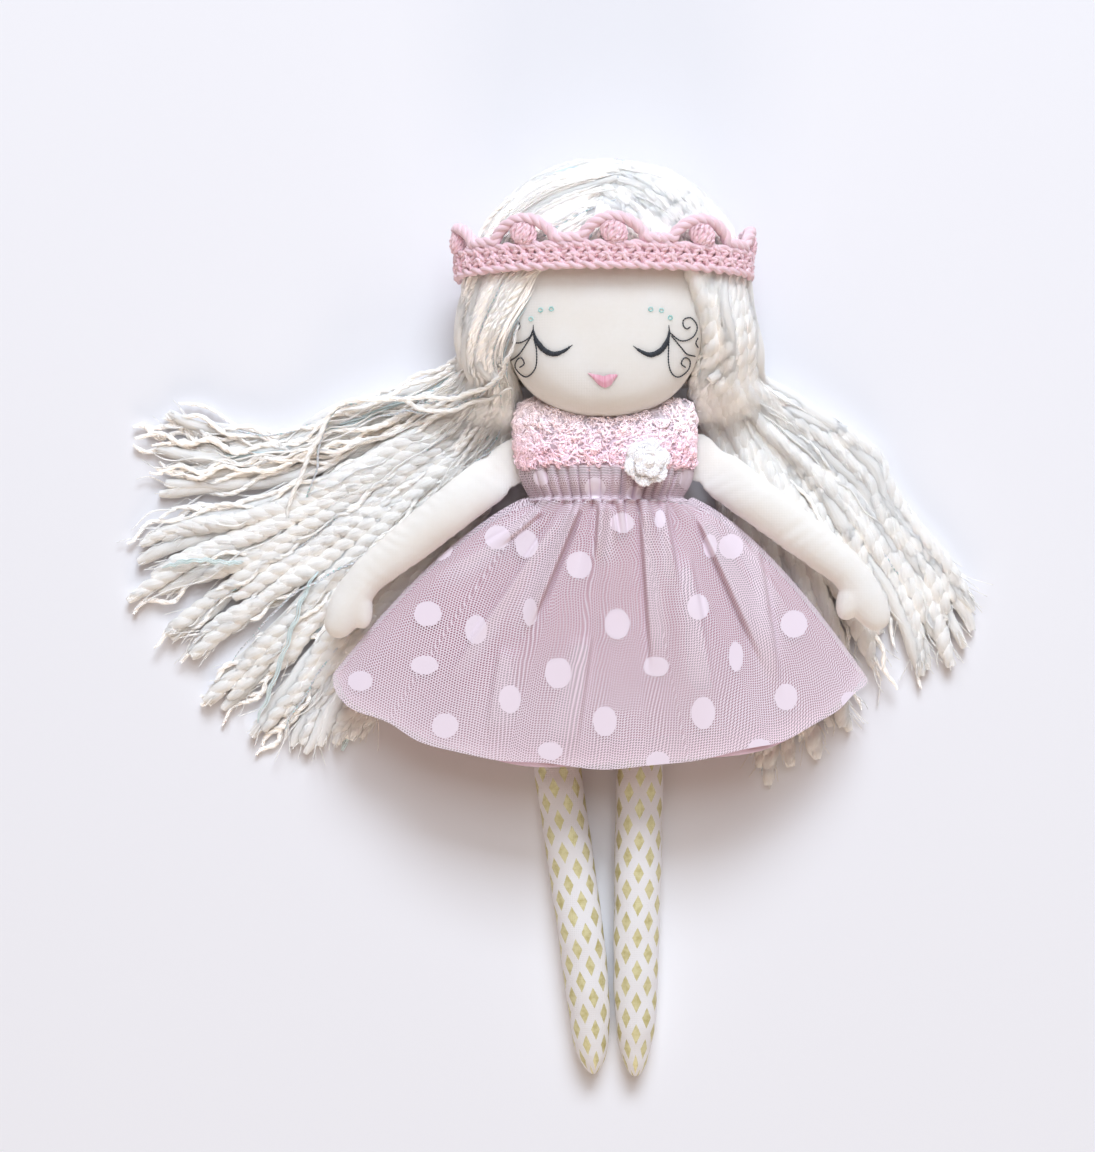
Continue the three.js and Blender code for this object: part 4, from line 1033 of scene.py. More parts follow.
def doubled(points):
    """How far the net lies double, from 0 to 1: in a strip beside each crease, and near the hem."""
    at = shown_at(points)
    hem_rise = 0.0006 * (at[:, 0] - ORIGIN_PIXEL[0]) ** 2
    inside = 0.65 * np.clip((at[:, 1] + hem_rise - 640) / 110, 0, 1)
    for x0, y0, x1, y1, width, _, lean in FOLDS:
        along, across = beside_fold(at, x0, y0, x1, y1, lean)
        reach = width * (1.4 + 2.4 * np.clip(along, 0, 1))
        strip = np.clip(across / 1.5, 0, 1) * np.clip((reach - across) / (0.6 * reach), 0, 1)
        fade = np.clip((along + 0.02) / 0.1, 0, 1) * np.clip((1.15 - along) / 0.35, 0, 1)
        inside = np.maximum(inside, 0.85 * strip * fade)
    return inside * (points[:, 2] > 20)


def gathers(angle, place):
    """Drawn-in pleats: round on top, with narrow deep gaps, wider and flatter down the skirt."""
    phase = 44 * angle + 1.6 * np.sin(3 * angle + 1) + 0.9 * np.sin(7 * angle)
    small = 2 * np.abs(np.cos(phase / 2)) ** 0.5 - 1.25
    small = small - 1.3 * np.clip(-small - 0.3, 0, 1)
    wide = np.sin(19 * angle + 2.2 * np.sin(4 * angle) + 0.6)
    uneven = 0.8 + 0.3 * np.sin(5 * angle + 2) + 0.2 * np.sin(11 * angle)
    below = 0.85 * wide * np.exp(-place / 0.26) * (place > 0.01)
    return uneven * small * np.exp(-place / 0.075) + below


def skirt_grid(rows, columns, hem, inset, gather, fold_share):
    """The skirt as a grid of points, from the waist to the hem, with its cloth places."""
    angle = 2 * np.pi * np.arange(columns) / columns
    angle = angle + 0.3 * np.sin(2 * angle)
    place = (np.arange(rows + 1) / rows)[:, None] ** 1.15 * np.ones(columns)
    reach = hem(angle)
    place = place * reach
    grid = skirt_surface(place, angle[None, :] * np.ones_like(place))
    a_little = 0.004
    fall = skirt_surface(place + a_little, angle[None, :] * np.ones_like(place)) - grid
    round_it = np.roll(grid, -1, axis=1) - np.roll(grid, 1, axis=1)
    out = np.cross(round_it, fall)
    out /= np.maximum(np.linalg.norm(out, axis=2, keepdims=True), 1e-9)
    pleats = gather * gathers(angle[None, :], place)
    flat = grid + out * (pleats - inset)[:, :, None]
    flat = flat.reshape(-1, 3)
    upper = np.clip((flat[:, 2] - 22) / 14, 0, 1)
    flat[:, 2] += fold_share * folded(flat) * upper
    flat[:, 2] = np.maximum(flat[:, 2], 0.35)
    return flat, place


def grid_faces(rows, columns):
    """Faces of a grid that closes round."""
    faces = []
    for r in range(rows):
        for c in range(columns):
            n = (c + 1) % columns
            corners = (r * columns + c, (r + 1) * columns + c, (r + 1) * columns + n, r * columns + n)
            faces.append(corners)
    return faces


# Woven dots where the view shows them: pixel, half width and half height in millimetres.
DOTS = [
    (438, 549, 6.2, 4.9), (497.5, 537.5, 5.6, 5.2), (526.5, 544, 5.0, 6.0), (579, 565, 5.6, 6.0),
    (622, 523, 5.2, 4.4), (660, 519, 2.4, 4.0), (710, 546, 3.0, 5.2), (731, 546.5, 5.4, 5.4),
    (427.6, 613.7, 6.0, 5.4), (476, 629.7, 4.8, 6.4), (530, 612, 3.2, 6.2), (617, 624, 5.6, 6.6),
    (698, 607, 4.8, 5.6), (794, 624, 5.8, 6.0), (424.5, 665, 6.0, 4.2), (360, 681, 5.4, 4.4),
    (558, 673, 5.8, 6.8), (656, 666.6, 5.6, 4.4), (736, 656.5, 3.2, 6.4), (786, 697, 5.0, 5.8),
    (510, 699, 4.8, 6.2), (604.6, 721, 5.2, 6.6), (703, 713, 5.2, 7.0), (445, 725.7, 5.8, 5.4),
    (550, 751, 5.4, 4.0), (658, 761, 5.2, 4.0), (760, 747, 5.0, 3.6), (850, 700, 4.0, 3.6),
]


FAR = 9.0


def dots_on(piece, grid):
    """Stores how far each point is from the edge of the nearest woven dot, in millimetres."""
    at = shown_at(grid)
    upper = grid[:, 2] > 20
    distance = np.full(len(grid), FAR)
    for px, py, half_width, half_height in DOTS:
        offset = (at - np.array([px, py])) * PIXEL
        reach = np.hypot(offset[:, 0] / half_width, offset[:, 1] / half_height)
        near = (reach - 1) * min(half_width, half_height)
        distance = np.where(upper, np.minimum(distance, near), distance)
    # The back of the skirt has the same dots in even staggered rows.
    for row, y in enumerate((-45, -70, -95, -120)):
        for x in np.arange(-105, 110, 27) + (13 if row % 2 else 0):
            reach = np.hypot((grid[:, 0] - x) / 5.6, (grid[:, 1] - y) / 6.2)
            distance = np.where(upper, distance, np.minimum(distance, (reach - 1) * 5.6))
    store(piece, "dot", distance)
    store(piece, "double", doubled(grid))


def store(piece, name, values):
    """Gives each point of a piece a number that its material reads."""
    layer = piece.data.attributes.new(name, "FLOAT", "POINT")
    layer.data.foreach_set("value", np.asarray(values, np.float32))


def cloth_places(grid, rows, columns):
    """Each grid point's place on the cloth, measured along and across its threads."""
    points = grid.reshape(rows + 1, columns, 3)
    down = np.linalg.norm(np.diff(points, axis=0), axis=2)
    along = np.concatenate([np.zeros((1, columns)), np.cumsum(down, axis=0)])
    step = np.linalg.norm(np.roll(points, -1, axis=1) - points, axis=2)
    smooth_step = (step + np.roll(step, 1, axis=1) + np.roll(step, -1, axis=1)) / 3
    across = np.cumsum(smooth_step, axis=1)
    across = across - across.mean(axis=1, keepdims=True)
    return np.stack([across, along], axis=-1).reshape(-1, 2)


def cloth_piece(name, grid, rows, columns, dye):
    """A sheet that closes round, with its cloth places on each corner."""
    faces = grid_faces(rows, columns)
    places = cloth_places(grid, rows, columns)
    piece = mesh_piece(name, grid, faces, dye)
    layer = piece.data.uv_layers.new(name="cloth")
    uv = places[np.array(faces).ravel()].astype(np.float32)
    # The last face of each row ends where its cloth would go on, so no pattern is squeezed there.
    last = (np.arange(len(faces)) % columns) == columns - 1
    for corner, before in ((2, 1), (3, 0)):
        uv[np.nonzero(last)[0] * 4 + corner, 0] = uv[np.nonzero(last)[0] * 4 + before, 0] + 1.2
    layer.data.foreach_set("uv", uv.ravel())
    return piece


def tulle_hem(angle):
    """How far down the net's hem reaches round the skirt."""
    return 1.0 + 0.006 * np.sin(9 * angle + 1) + 0.004 * np.sin(17 * angle)


ROWS, COLUMNS = 96, 560
skirt_points, _ = skirt_grid(ROWS, COLUMNS, tulle_hem, 0.0, 1.7, 1.0)
skirt = cloth_piece("skirt_tulle_gathered", skirt_points, ROWS, COLUMNS, tulle)
dots_on(skirt, skirt_points)
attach(skirt, "body")
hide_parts("skirt_tulle")
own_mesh(skirt)


def lining_hem(angle):
    """The lining shows a little below the net at the right and at the middle of the left."""
    right = np.exp(-(((angle - math.radians(52)) / 0.22) ** 2))
    left = np.exp(-(((angle - math.radians(108)) / 0.2) ** 2))
    return 0.985 + 0.034 * right + 0.026 * left + 0.004 * np.sin(12 * angle)


LINING_ROWS, LINING_COLUMNS = 56, 300
lining_points, lining_place = skirt_grid(LINING_ROWS, LINING_COLUMNS, lining_hem, 2.2, 0.7, 0.75)
lining = cloth_piece("skirt_lining_gathered", lining_points, LINING_ROWS, LINING_COLUMNS, acetate)
# The edge value paints light on the last few millimetres of the lining's hem.
store(lining, "edge", np.clip((lining_place.ravel() - 0.955) / 0.02, 0, 1))
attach(lining, "body")
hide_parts("skirt_lining")
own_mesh(lining)

# The ruffle above the gathering line, and the drawn-in casing itself.


def ruffle(name, profile, columns, dye, inset=0.0):
    """A pleated ring of cloth. profile gives y, half width, half depth, height and pleat depth."""
    angle = 2 * np.pi * np.arange(columns) / columns
    pleats = gathers(angle, 0.0)
    rings = []
    for y, half_width, half_depth, z, pleat in profile:
        out = pleat * pleats - inset
        lean = 0.35 * pleat * np.sin(44 * angle + 0.6)
        x = np.cos(angle) * (half_width + out) - np.sin(angle) * lean
        up = np.sin(angle) * (half_depth + out) + np.cos(angle) * lean
        rings.append(np.stack([x, y + 0.3 * out, z + up], axis=1))
    grid = np.concatenate(rings)
    grid[:, 2] = np.maximum(grid[:, 2], 0.3)
    return cloth_piece(name, grid, len(rings) - 1, columns, dye), grid


# Down the heading: y, half width, half depth, height and pleat depth.
HEADING = [
    [-11.6, 37.2, 23.2, 23.0, 1.3], [-15.0, 36.6, 22.8, 22.9, 1.7], [-18.6, 35.4, 22.2, 22.8, 1.9],
    [-21.6, 34.0, 21.0, 22.6, 1.8], [-23.6, 33.0, 20.2, 22.4, 1.5], [-24.6, 32.6, 19.8, 22.4, 1.3],
    [-25.4, 33.2, 20.4, 22.4, 1.5], [-26.2, 34.8, 21.9, 22.5, 1.7],
]
heading, heading_grid = ruffle("skirt_heading_ruffled", smooth_line(HEADING, 30), 720, tulle)
heading_at = shown_at(heading_grid)
near = np.full(len(heading_grid), FAR)
for px, py, size in ((595, 488, 4.6), (634, 494, 3.4), (688, 480, 4.2), (541, 478, 3.4)):
    near = np.minimum(near, np.hypot(heading_at[:, 0] - px, heading_at[:, 1] - py) * PIXEL - size)
store(heading, "dot", near)
store(heading, "double", np.full(len(near), 0.5))
profile = smooth_line(HEADING[1:], 16)
backing, backing_grid = ruffle("skirt_heading_backing", profile, 360, acetate, 1.5)
# The backing takes 0.4 of the lining's painted rim light, so it renders paler.
store(backing, "edge", np.full(len(backing_grid), 0.4))
angle = np.linspace(0, 2 * np.pi, 80)
band = np.stack([np.cos(angle) * 30.4, np.full(80, -24.6), 22.4 + np.sin(angle) * 17.6], axis=1)
elastic = yarns("waist_elastic_cord", [band], [1.0], crown_cotton, plies=2, twist=4.0, sides=6)
for piece in (heading, backing, elastic):
    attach(piece, "body")
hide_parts("skirt_heading", "waist_elastic")

# Boucle bodice: a band of cloth, then its curls. Up the band: place and girth as shares.
BODICE_HALF_WIDTH, BODICE_HALF_DEPTH, BODICE_Z, BODICE_FULLNESS = 39, 23.5, 23, 2.3
BODICE = [[0, 0.93], [0.08, 0.98], [0.3, 1], [0.5, 0.99], [0.75, 1], [0.93, 0.95], [1, 0.86]]


def bodice_point(place, angle, extra=0.0):
    """A point on the bodice, extra millimetres out from it."""
    size = np.interp(place, [row[0] for row in BODICE], [row[1] for row in BODICE])
    # Under the chin the collar dips, and at both sides it stands up.
    front = max(math.sin(angle), 0)
    side = abs(math.cos(angle)) ** 3
    sway = place * (1.0 + 2.6 * side - 5.5 * front**3 * math.exp(-((math.cos(angle) / 0.62) ** 2)))
    c, s = math.cos(angle), math.sin(angle)
    half_width, half_depth = BODICE_HALF_WIDTH * size + extra, BODICE_HALF_DEPTH * size + extra
    x = math.copysign(abs(c) ** (2 / BODICE_FULLNESS), c) * half_width
    z = BODICE_Z + math.copysign(abs(s) ** (2 / BODICE_FULLNESS), s) * half_depth
    return np.array([x, -12.5 + 26 * place + sway, max(z, 0.1)])


around_body = np.linspace(0, 2 * np.pi, 220, endpoint=False)
outline = [(0.06, -3.0), (0.0, -2.0), (0.0, -1.0)]
outline += [(place, -0.3) for place in np.linspace(0.04, 0.96, 34)]
outline += [(1.0, -0.9), (1.0, -2.4), (0.93, -3.4), (0.7, -4.0), (0.3, -4.0), (0.06, -3.0)]
rings = [np.array([bodice_point(place, a, extra) for a in around_body]) for place, extra in outline]
points, faces = lofted(rings, closed=False)
bodice = turned_out(mesh_piece("bodice_boucle", points, faces, boucle))
shape = points_of(bodice)
outward = np.zeros_like(shape)
outward[:, 0] = shape[:, 0] / BODICE_HALF_WIDTH**2
outward[:, 2] = (shape[:, 2] - BODICE_Z) / BODICE_HALF_DEPTH**2
outward /= np.linalg.norm(outward, axis=1, keepdims=True)
outer_face = (normals_of(bodice) * outward).sum(axis=1) > 0.2
lumps = 0.5 * ripples(shape, 6.5, 41) + 0.3 * ripples(shape, 2.8, 42)
shape += outward * (lumps * outer_face)[:, None]
shape[:, 2] = np.maximum(shape[:, 2], 0.1)
set_points(bodice, shape)
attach(bodice, "body")
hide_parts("bodice")

CURLS = 3900
LOWEST_CURL = 2.6
curl = []
for step in range(11):
    a = 2 * np.pi * 0.82 * step / 10
    curl.append([1.5 * math.cos(a), 1.5 * math.sin(a), 0.9 * step / 10 + 0.5 * math.sin(2 * a)])
curl_shape = yarns("curl", [curl], [0.44], boucle, plies=1, sampling=0.95, sides=3)
curl_shape.hide_render = True
places, turns, sizes = [], [], []
outer_faces = [face for face in bodice.data.polygons if outer_face[face.vertices[0]]]
for _ in range(CURLS):
    face = outer_faces[chance.integers(len(outer_faces))]
    normal = np.array(face.normal)
    point = np.array(face.center) / MM + normal * chance.uniform(-0.6, 0.1)
    if point[2] < LOWEST_CURL:
        continue
    turn = Vector(normal + chance.normal(0, 0.5, 3)).to_track_quat("Z", "Y").to_euler()
    places.append(point)
    turns.append((turn.x, turn.y, turn.z))
    sizes.append(chance.uniform(0.55, 1.05))
curls = scattered("bodice_curls", places, turns, sizes, curl_shape, boucle)
bpy.data.objects.remove(curl_shape)
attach(curls, "body")


# Crown

CROWN_STEPS = 720
CROWN_HALF_WIDTH, CROWN_HALF_DEPTH = 62, 31.5
CROWN_MIDDLE = (-1, 68.4, 33)
crown_angle = 2 * np.pi * np.arange(CROWN_STEPS + 1) / CROWN_STEPS
oval = np.stack([np.cos(crown_angle) * 127, np.sin(crown_angle) * 66], axis=1)
crown_length = np.concatenate([[0], np.cumsum(np.linalg.norm(np.diff(oval, axis=0), axis=1))])
crown_length /= crown_length[-1]


def crown_place(share, outwards, along):
    """A point at a share of the way round the crown, moved outwards and along the head."""
    a = np.interp(np.asarray(share) % 1.0, crown_length, crown_angle)
    normal = np.stack([np.cos(a) / CROWN_HALF_WIDTH, np.sin(a) / CROWN_HALF_DEPTH], axis=-1)
    normal /= np.linalg.norm(normal, axis=-1, keepdims=True)
    x = np.cos(a) * CROWN_HALF_WIDTH + normal[..., 0] * outwards
    z = np.sin(a) * CROWN_HALF_DEPTH + normal[..., 1] * outwards
    y = CROWN_MIDDLE[1] + np.asarray(along) + 0.055 * z
    return np.stack([x + CROWN_MIDDLE[0], y, z + CROWN_MIDDLE[2]], axis=-1)


CROWN_LOWEST = 2.6


def crown_point(share, outwards, along):
    """The same point, with the back of the crown pressed flat on the table."""
    point = crown_place(share, outwards, along)
    point[..., 2] = np.maximum(point[..., 2], CROWN_LOWEST)
    return point


CROWN_ROUND = 301.6
STITCHES = 44


def crown_path(points, start):
    """A path drawn flat in millimetres, along, up and outwards, laid on the crown."""
    p = np.asarray(points, float)
    return crown_point(start + p[:, 0] / CROWN_ROUND, p[:, 2], p[:, 1])


stitch_paths = []
for i in range(STITCHES):
    start = i / STITCHES
    lean = chance.uniform(-0.25, 0.25)
    for row, (low, high) in enumerate(((1.2, 5.1), (4.9, 8.9))):
        shift = 1.4 if row else 0.0
        third, most = mixed(low, high, 0.35), mixed(low, high, 0.75)
        left = [[-2.9, low, -0.3], [-1.9, third, 0.9], [-0.5, most, 1.3], [0.2, high, 0.2]]
        right = [[2.9, low, -0.3], [1.9, third, 0.9], [0.7, most, 1.3], [0.2, high, 0.2]]
        bar = [[-3.2, high - 0.6, -0.2], [-1.4, high - 0.1, 1.2]]
        bar += [[1.1, high - 0.2, 1.4], [2.9, high - 1.0, 0.1]]
        for line in (left, right, bar):
            moved = np.array(line) + np.array([shift + lean, 0, 0])
            stitch_paths.append(crown_path(smooth_line(moved, 9), start))
thick = [1.3] * len(stitch_paths)
stitches = yarns("crown_stitches", stitch_paths, thick, crown_cotton, twist=4.2, sampling=0.8, sides=5)
turn_share = np.linspace(0, 1, 420)
chains = []
for along, outwards in ((0.6, 0.5), (9.4, 0.6)):
    wave = 0.25 * np.sin(2 * np.pi * STITCHES * turn_share)
    chains.append(crown_point(turn_share, outwards, along + wave))
chain = yarns("crown_chains", chains, [1.85, 1.75], crown_cotton, twist=11.0, sampling=0.9, sides=9)
inner = [crown_point(turn_share, -0.9, np.full(420, along)) for along in (2.6, 5.0, 7.4)]
backing = yarns("crown_backing", inner, [1.5] * 3, crown_cotton, twist=8.0, sampling=1.4)
band = joined("crown_band_crocheted", [stitches, chain, backing])
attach(band, "crown")
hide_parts("crown_band")

SCALLOPS = 8
FIRST_BOBBLE = 0.2384
edge_share = np.linspace(0, 1, SCALLOPS * 56)
in_scallop = (edge_share * SCALLOPS) % 1.0
arch = np.clip((in_scallop - 0.16) / 0.68, 0, 1)
edge_along = 12.0 + 8.6 * np.sin(np.pi * arch) ** 0.6
edge_out = 0.3 + 0.5 * np.sin(np.pi * arch)
edge_line = crown_point(FIRST_BOBBLE + edge_share - 0.5 / SCALLOPS, edge_out, edge_along)
rope = {"plies": 3, "twist": 12.0, "sampling": 0.8, "sides": 9}
edging = yarns("crown_edging_chain", [edge_line], [2.5], crown_cotton, **rope)
second = crown_point(FIRST_BOBBLE + edge_share - 0.5 / SCALLOPS, edge_out - 1.3, edge_along - 0.9)
lower = yarns("crown_edging_inner", [second], [1.3], crown_cotton, twist=6.0, sampling=1.0)
edging = joined("crown_edging_crocheted", [edging, lower])
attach(edging, "crown")
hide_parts("crown_edging")

BOBBLE_WRAPS, BOBBLE_CORE, BOBBLE_ALONG = 13, 6, 14.4
for i in range(SCALLOPS):
    share = FIRST_BOBBLE + i / SCALLOPS
    centre = crown_place(share, 0.4, BOBBLE_ALONG)
    outward = crown_place(share, 3.0, BOBBLE_ALONG) - centre
    outward /= np.linalg.norm(outward)
    around = crown_place(share + 0.004, 0.4, BOBBLE_ALONG) - centre
    around /= np.linalg.norm(around)
    up = np.cross(outward, around)
    up *= np.sign(up[1])
    wraps = []
    for j in range(BOBBLE_WRAPS):
        turn = 2 * np.pi * j / BOBBLE_WRAPS + 0.2
        line = []
        for t in np.linspace(-1.3, 1.3, 9):
            swell = max(math.cos(t), 0.3) ** 0.7
            a = turn + 0.3 * t
            offset = around * math.cos(a) * swell * 5.2 + outward * math.sin(a) * swell * 3.0
            line.append(centre + offset + up * (math.sin(t) * 4.4 + 0.22 * offset.dot(around)))
        line = smooth_line(line, 12)
        line[:, 2] = np.maximum(line[:, 2], 1.2)
        wraps.append(line)
    for j in range(BOBBLE_CORE):
        a = 2 * np.pi * j / BOBBLE_CORE
        offset = around * math.cos(a) * 2.6 + outward * math.sin(a) * 1.5
        core = np.array([centre + offset + up * t for t in (-3.2, -1.6, 0.0, 1.6, 3.2)])
        core[:, 2] = np.maximum(core[:, 2], 2.2)
        wraps.append(core)
    thick = [0.92] * BOBBLE_WRAPS + [1.9] * BOBBLE_CORE
    puff = yarns("crown_puff_" + str(i + 1), wraps, thick, crown_cotton, twist=5.0, sampling=0.9, sides=5)
    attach(puff, "crown")
    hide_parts("crown_bobble_" + str(i + 1))


# Flower

FLOWER_LEAN = math.radians(13)
FLOWER_X, FLOWER_Y = 16.4, -10.4


def bodice_top_at(x):
    """How high the bodice is at x, less how far the flower sinks into it."""
    across = abs(x) / BODICE_HALF_WIDTH
    return BODICE_HALF_DEPTH * (1 + (1 - across**2.3) ** (1 / 2.3)) - 0.5


def flower_path(points):
    """A path drawn about the flower's middle, turned and set on the bodice."""
    p = np.asarray(points, float)
    x = p[:, 0] * math.cos(FLOWER_LEAN) + p[:, 2] * math.sin(FLOWER_LEAN)
    z = -p[:, 0] * math.sin(FLOWER_LEAN) + p[:, 2] * math.cos(FLOWER_LEAN)
    base = np.array([FLOWER_X, FLOWER_Y, bodice_top_at(FLOWER_X) + 0.3])
    return np.stack([x, p[:, 1], z], axis=1) + base


# Each row of petals: how many, how far from the middle, half length, half width, height and turn.
PETALS = ((6, 6.4, 3.3, 3.6, 2.4, 0.3), (5, 3.6, 2.5, 2.8, 4.6, 0.1))
flower_paths, flower_radii = [], []
for petals, middle, reach, wide, height, turn in PETALS:
    for i in range(petals):
        a = 2 * np.pi * i / petals + turn
        for loop in (1.0, 0.66, 0.33):
            line = []
            for b in np.linspace(0, 2 * np.pi, 13):
                r = middle + loop * reach * math.cos(b)
                s = loop * wide * math.sin(b)
                rise = height + 0.9 * (1 - loop) + 0.5 * math.cos(b)
                line.append([r * math.cos(a) - s * math.sin(a), r * math.sin(a) + s * math.cos(a), rise])
            flower_paths.append(flower_path(smooth_line(line, 20)))
            flower_radii.append(0.95)
line = []
for b in np.linspace(0, 6.5 * np.pi, 60):
    share = b / (6.5 * np.pi)
    r = 2.6 * (1 - 0.75 * share)
    line.append([r * math.cos(b), r * math.sin(b), 4.6 + 2.0 * share])
flower_paths.append(flower_path(line))
flower_radii.append(1.0)
for r, height, radius in ((8.2, 1.2, 1.2), (5.0, 1.6, 1.6)):
    line = [[r * math.cos(b), r * math.sin(b), height] for b in np.linspace(0, 2 * np.pi, 40)]
    flower_paths.append(flower_path(line))
    flower_radii.append(radius)
flower = yarns("flower_crocheted", flower_paths, flower_radii, flower_cotton, twist=4.0, sampling=0.8)
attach(flower, "body")
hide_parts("flower")


# Hair


HAIR_MIDDLE = np.array([-1, 57, 33])
HAIR_ABOVE, HAIR_BELOW, HAIR_HALF_WIDTH, HAIR_HALF_DEPTH = 63.5, 42.4, 60.5, 29.3


def over_head(x, y):
    """A point on the outside of the hair over the head."""
    above = max((y - HAIR_MIDDLE[1]) / HAIR_ABOVE, 0)
    below = max((HAIR_MIDDLE[1] - y) / HAIR_BELOW, 0)
    dome = max(1 - above**2.4, 0.003) ** (1 / 2.4)
    half_width = HAIR_HALF_WIDTH * dome * (1 - 0.26 * below**2.2)
    top = HAIR_MIDDLE[2] + HAIR_HALF_DEPTH * dome * (1 - 0.42 * below**2)
    low = HAIR_MIDDLE[2] - HAIR_HALF_DEPTH * dome if y > 66 else 0.0
    share = max(1 - ((x - HAIR_MIDDLE[0]) / half_width) ** 2, 0)
    return np.array([x, y, (top + low) / 2 + (top - low) / 2 * math.sqrt(share)])


# Lines that the hair follows, from the parting to the cut ends, outermost first. A pair is a place
# over the head, and three numbers are a pixel of the view and a height.
LEFT_GUIDES = [
    [(2, 113), (-24, 110), (-46, 95), (-57, 76), (466, 288, 40), (462, 308, 35), (461, 330, 31),
     (462, 346, 28), (464, 357, 24), (425, 380, 17), (370, 399, 13), (332, 412, 11), (298, 438, 10),
     (262, 436, 9), (220, 421, 8), (185, 407, 7)],
    [(2, 110), (-22, 106), (-42, 93), (-53, 75), (472, 287, 44), (467, 308, 39), (464, 331, 34),
     (464, 350, 29), (468, 364, 25), (430, 392, 18), (375, 412, 14), (320, 434, 12), (262, 450, 10),
     (205, 443, 8), (152, 432, 7)],
    [(2, 107), (-18, 102), (-37, 91), (-49, 74), (479, 286, 47), (472, 308, 42), (467, 332, 36),
     (466, 354, 31), (472, 370, 27), (438, 400, 19), (380, 426, 14), (315, 450, 12), (245, 468, 10),
     (185, 472, 8), (138, 470, 7)],
    [(2, 102), (-14, 96), (-31, 86), (-42, 73), (493, 284, 52), (483, 307, 48), (474, 333, 42),
     (471, 360, 35), (480, 380, 31), (450, 416, 20), (390, 450, 15), (318, 492, 13), (245, 520, 11),
     (185, 532, 9), (136, 556, 7)],
    [(1, 100), (-12, 94), (-28, 84), (-38, 73), (500, 283, 54), (488, 306, 50), (478, 333, 44),
     (475, 362, 37), (484, 385, 32), (456, 424, 20), (394, 464, 15), (322, 515, 13), (248, 555, 11),
     (193, 585, 9), (150, 608, 7)],
    [(1, 96), (-10, 90), (-23, 82), (-32, 73), (514, 280, 56), (500, 304, 53), (487, 333, 48),
     (483, 362, 41), (491, 389, 34), (468, 440, 18), (408, 494, 15), (342, 558, 13), (280, 616, 11),
     (235, 655, 9), (203, 680, 7)],
    [(0, 92), (-8, 87), (-18, 80), (-26, 73), (528, 276, 57), (513, 301, 55), (498, 331, 52),
     (491, 360, 44), (499, 394, 34), (496, 428, 21), (480, 455, 16), (425, 525, 13), (366, 597, 11),
     (318, 662, 9), (286, 712, 8), (266, 742, 6)],
    [(0, 90), (-7, 85), (-16, 79), (-23, 73), (535, 274, 57), (521, 299, 56), (504, 330, 53),
     (496, 358, 45), (504, 394, 34), (503, 428, 22), (487, 462, 15), (436, 540, 12), (384, 615, 10),
     (338, 685, 8), (308, 738, 6)],
    [(0, 88), (-6, 84), (-14, 78), (-20, 73), (542, 272, 57), (529, 297, 56), (510, 328, 54),
     (501, 358, 46), (508, 392, 34), (509, 426, 22), (494, 468, 14), (450, 555, 11), (405, 630, 9),
     (368, 695, 7), (345, 742, 6)],
    [(0, 86), (-6, 83), (-13, 78), (-18, 72), (546, 270, 52), (534, 297, 50), (515, 330, 46),
     (507, 362, 38), (516, 394, 25), (517, 428, 14), (500, 470, 12), (460, 560, 9), (420, 632, 7),
     (386, 690, 6), (364, 728, 6)],
]
RIGHT_GUIDES = [
    [(4, 113), (26, 111), (46, 96), (56, 77), (746, 300, 36), (753, 342, 29), (756, 383, 20),
     (800, 407, 15), (842, 429, 12), (882, 456, 10), (893, 495, 9), (930, 540, 8), (985, 612, 7)],
    [(4, 111), (25, 107), (43, 92), (53, 76), (738, 300, 43), (745, 345, 37), (747, 385, 26),
     (778, 410, 17), (825, 437, 13), (864, 472, 11), (895, 522, 9), (940, 570, 8), (972, 630, 7)],
    [(4, 109), (23, 104), (40, 90), (50, 75), (729, 300, 48), (736, 345, 43), (739, 388, 30),
     (768, 416, 17), (815, 450, 14), (853, 490, 11), (890, 540, 9), (925, 596, 8), (950, 656, 7)],
    [(4, 107), (22, 101), (37, 88), (46, 75), (718, 298, 53), (726, 342, 49), (730, 386, 36),
     (760, 422, 17), (803, 464, 14), (845, 512, 12), (880, 565, 10), (905, 622, 8), (922, 690, 7)],
    [(4, 103), (18, 96), (31, 85), (40, 74), (708, 282, 55), (719, 304, 50), (724, 332, 44),
     (725, 360, 38), (720, 387, 37), (738, 434, 16), (776, 500, 13), (810, 562, 12), (838, 622, 10),
     (856, 674, 8), (864, 700, 7)],
    [(4, 101), (17, 94), (29, 84), (38, 73), (702, 278, 56), (713, 302, 52), (719, 330, 46),
     (719, 357, 41), (711, 386, 36), (712, 414, 24), (729, 438, 16), (765, 520, 12), (795, 592, 10),
     (815, 662, 8), (828, 742, 7)],
    [(4, 97), (14, 91), (25, 82), (34, 73), (691, 270, 57), (702, 298, 55), (709, 326, 51),
     (711, 352, 46), (702, 380, 38), (701, 412, 24), (718, 446, 14), (744, 545, 10), (757, 632, 8),
     (763, 712, 7), (766, 780, 6)],
    [(4, 95), (13, 90), (23, 81), (31, 73), (687, 268, 51), (697, 298, 48), (704, 328, 44),
     (706, 356, 37), (695, 386, 26), (692, 414, 15), (710, 448, 12), (736, 548, 9), (746, 632, 7),
     (750, 704, 6), (752, 752, 6)],
]
GUIDE_STEPS = 110
UP = np.array([0.0, 0.0, 1.0])


def even_guides(guides, further):
    """The guides as even lines, each longer at its end by some millimetres."""
    lines = []
    for guide in guides:
        points = [over_head(*spot) if len(spot) == 2 else seen(*spot) for spot in guide]
        last = points[-1] - points[-2]
        last[2] = 0
        points.append(points[-1] + last / np.linalg.norm(last) * further)
        lines.append(smooth_line(points, GUIDE_STEPS))
    return np.array(lines)


# The yarns gather into this many tufts towards their ends.
TUFTS = 11


def between_guides(guides, across):
    """The line at a share of the way from the first guide to the last."""
    spot = min(max(across, 0), 1) * (len(guides) - 1)
    i = min(int(spot), len(guides) - 2)
    return mixed(guides[i], guides[i + 1], spot - i)


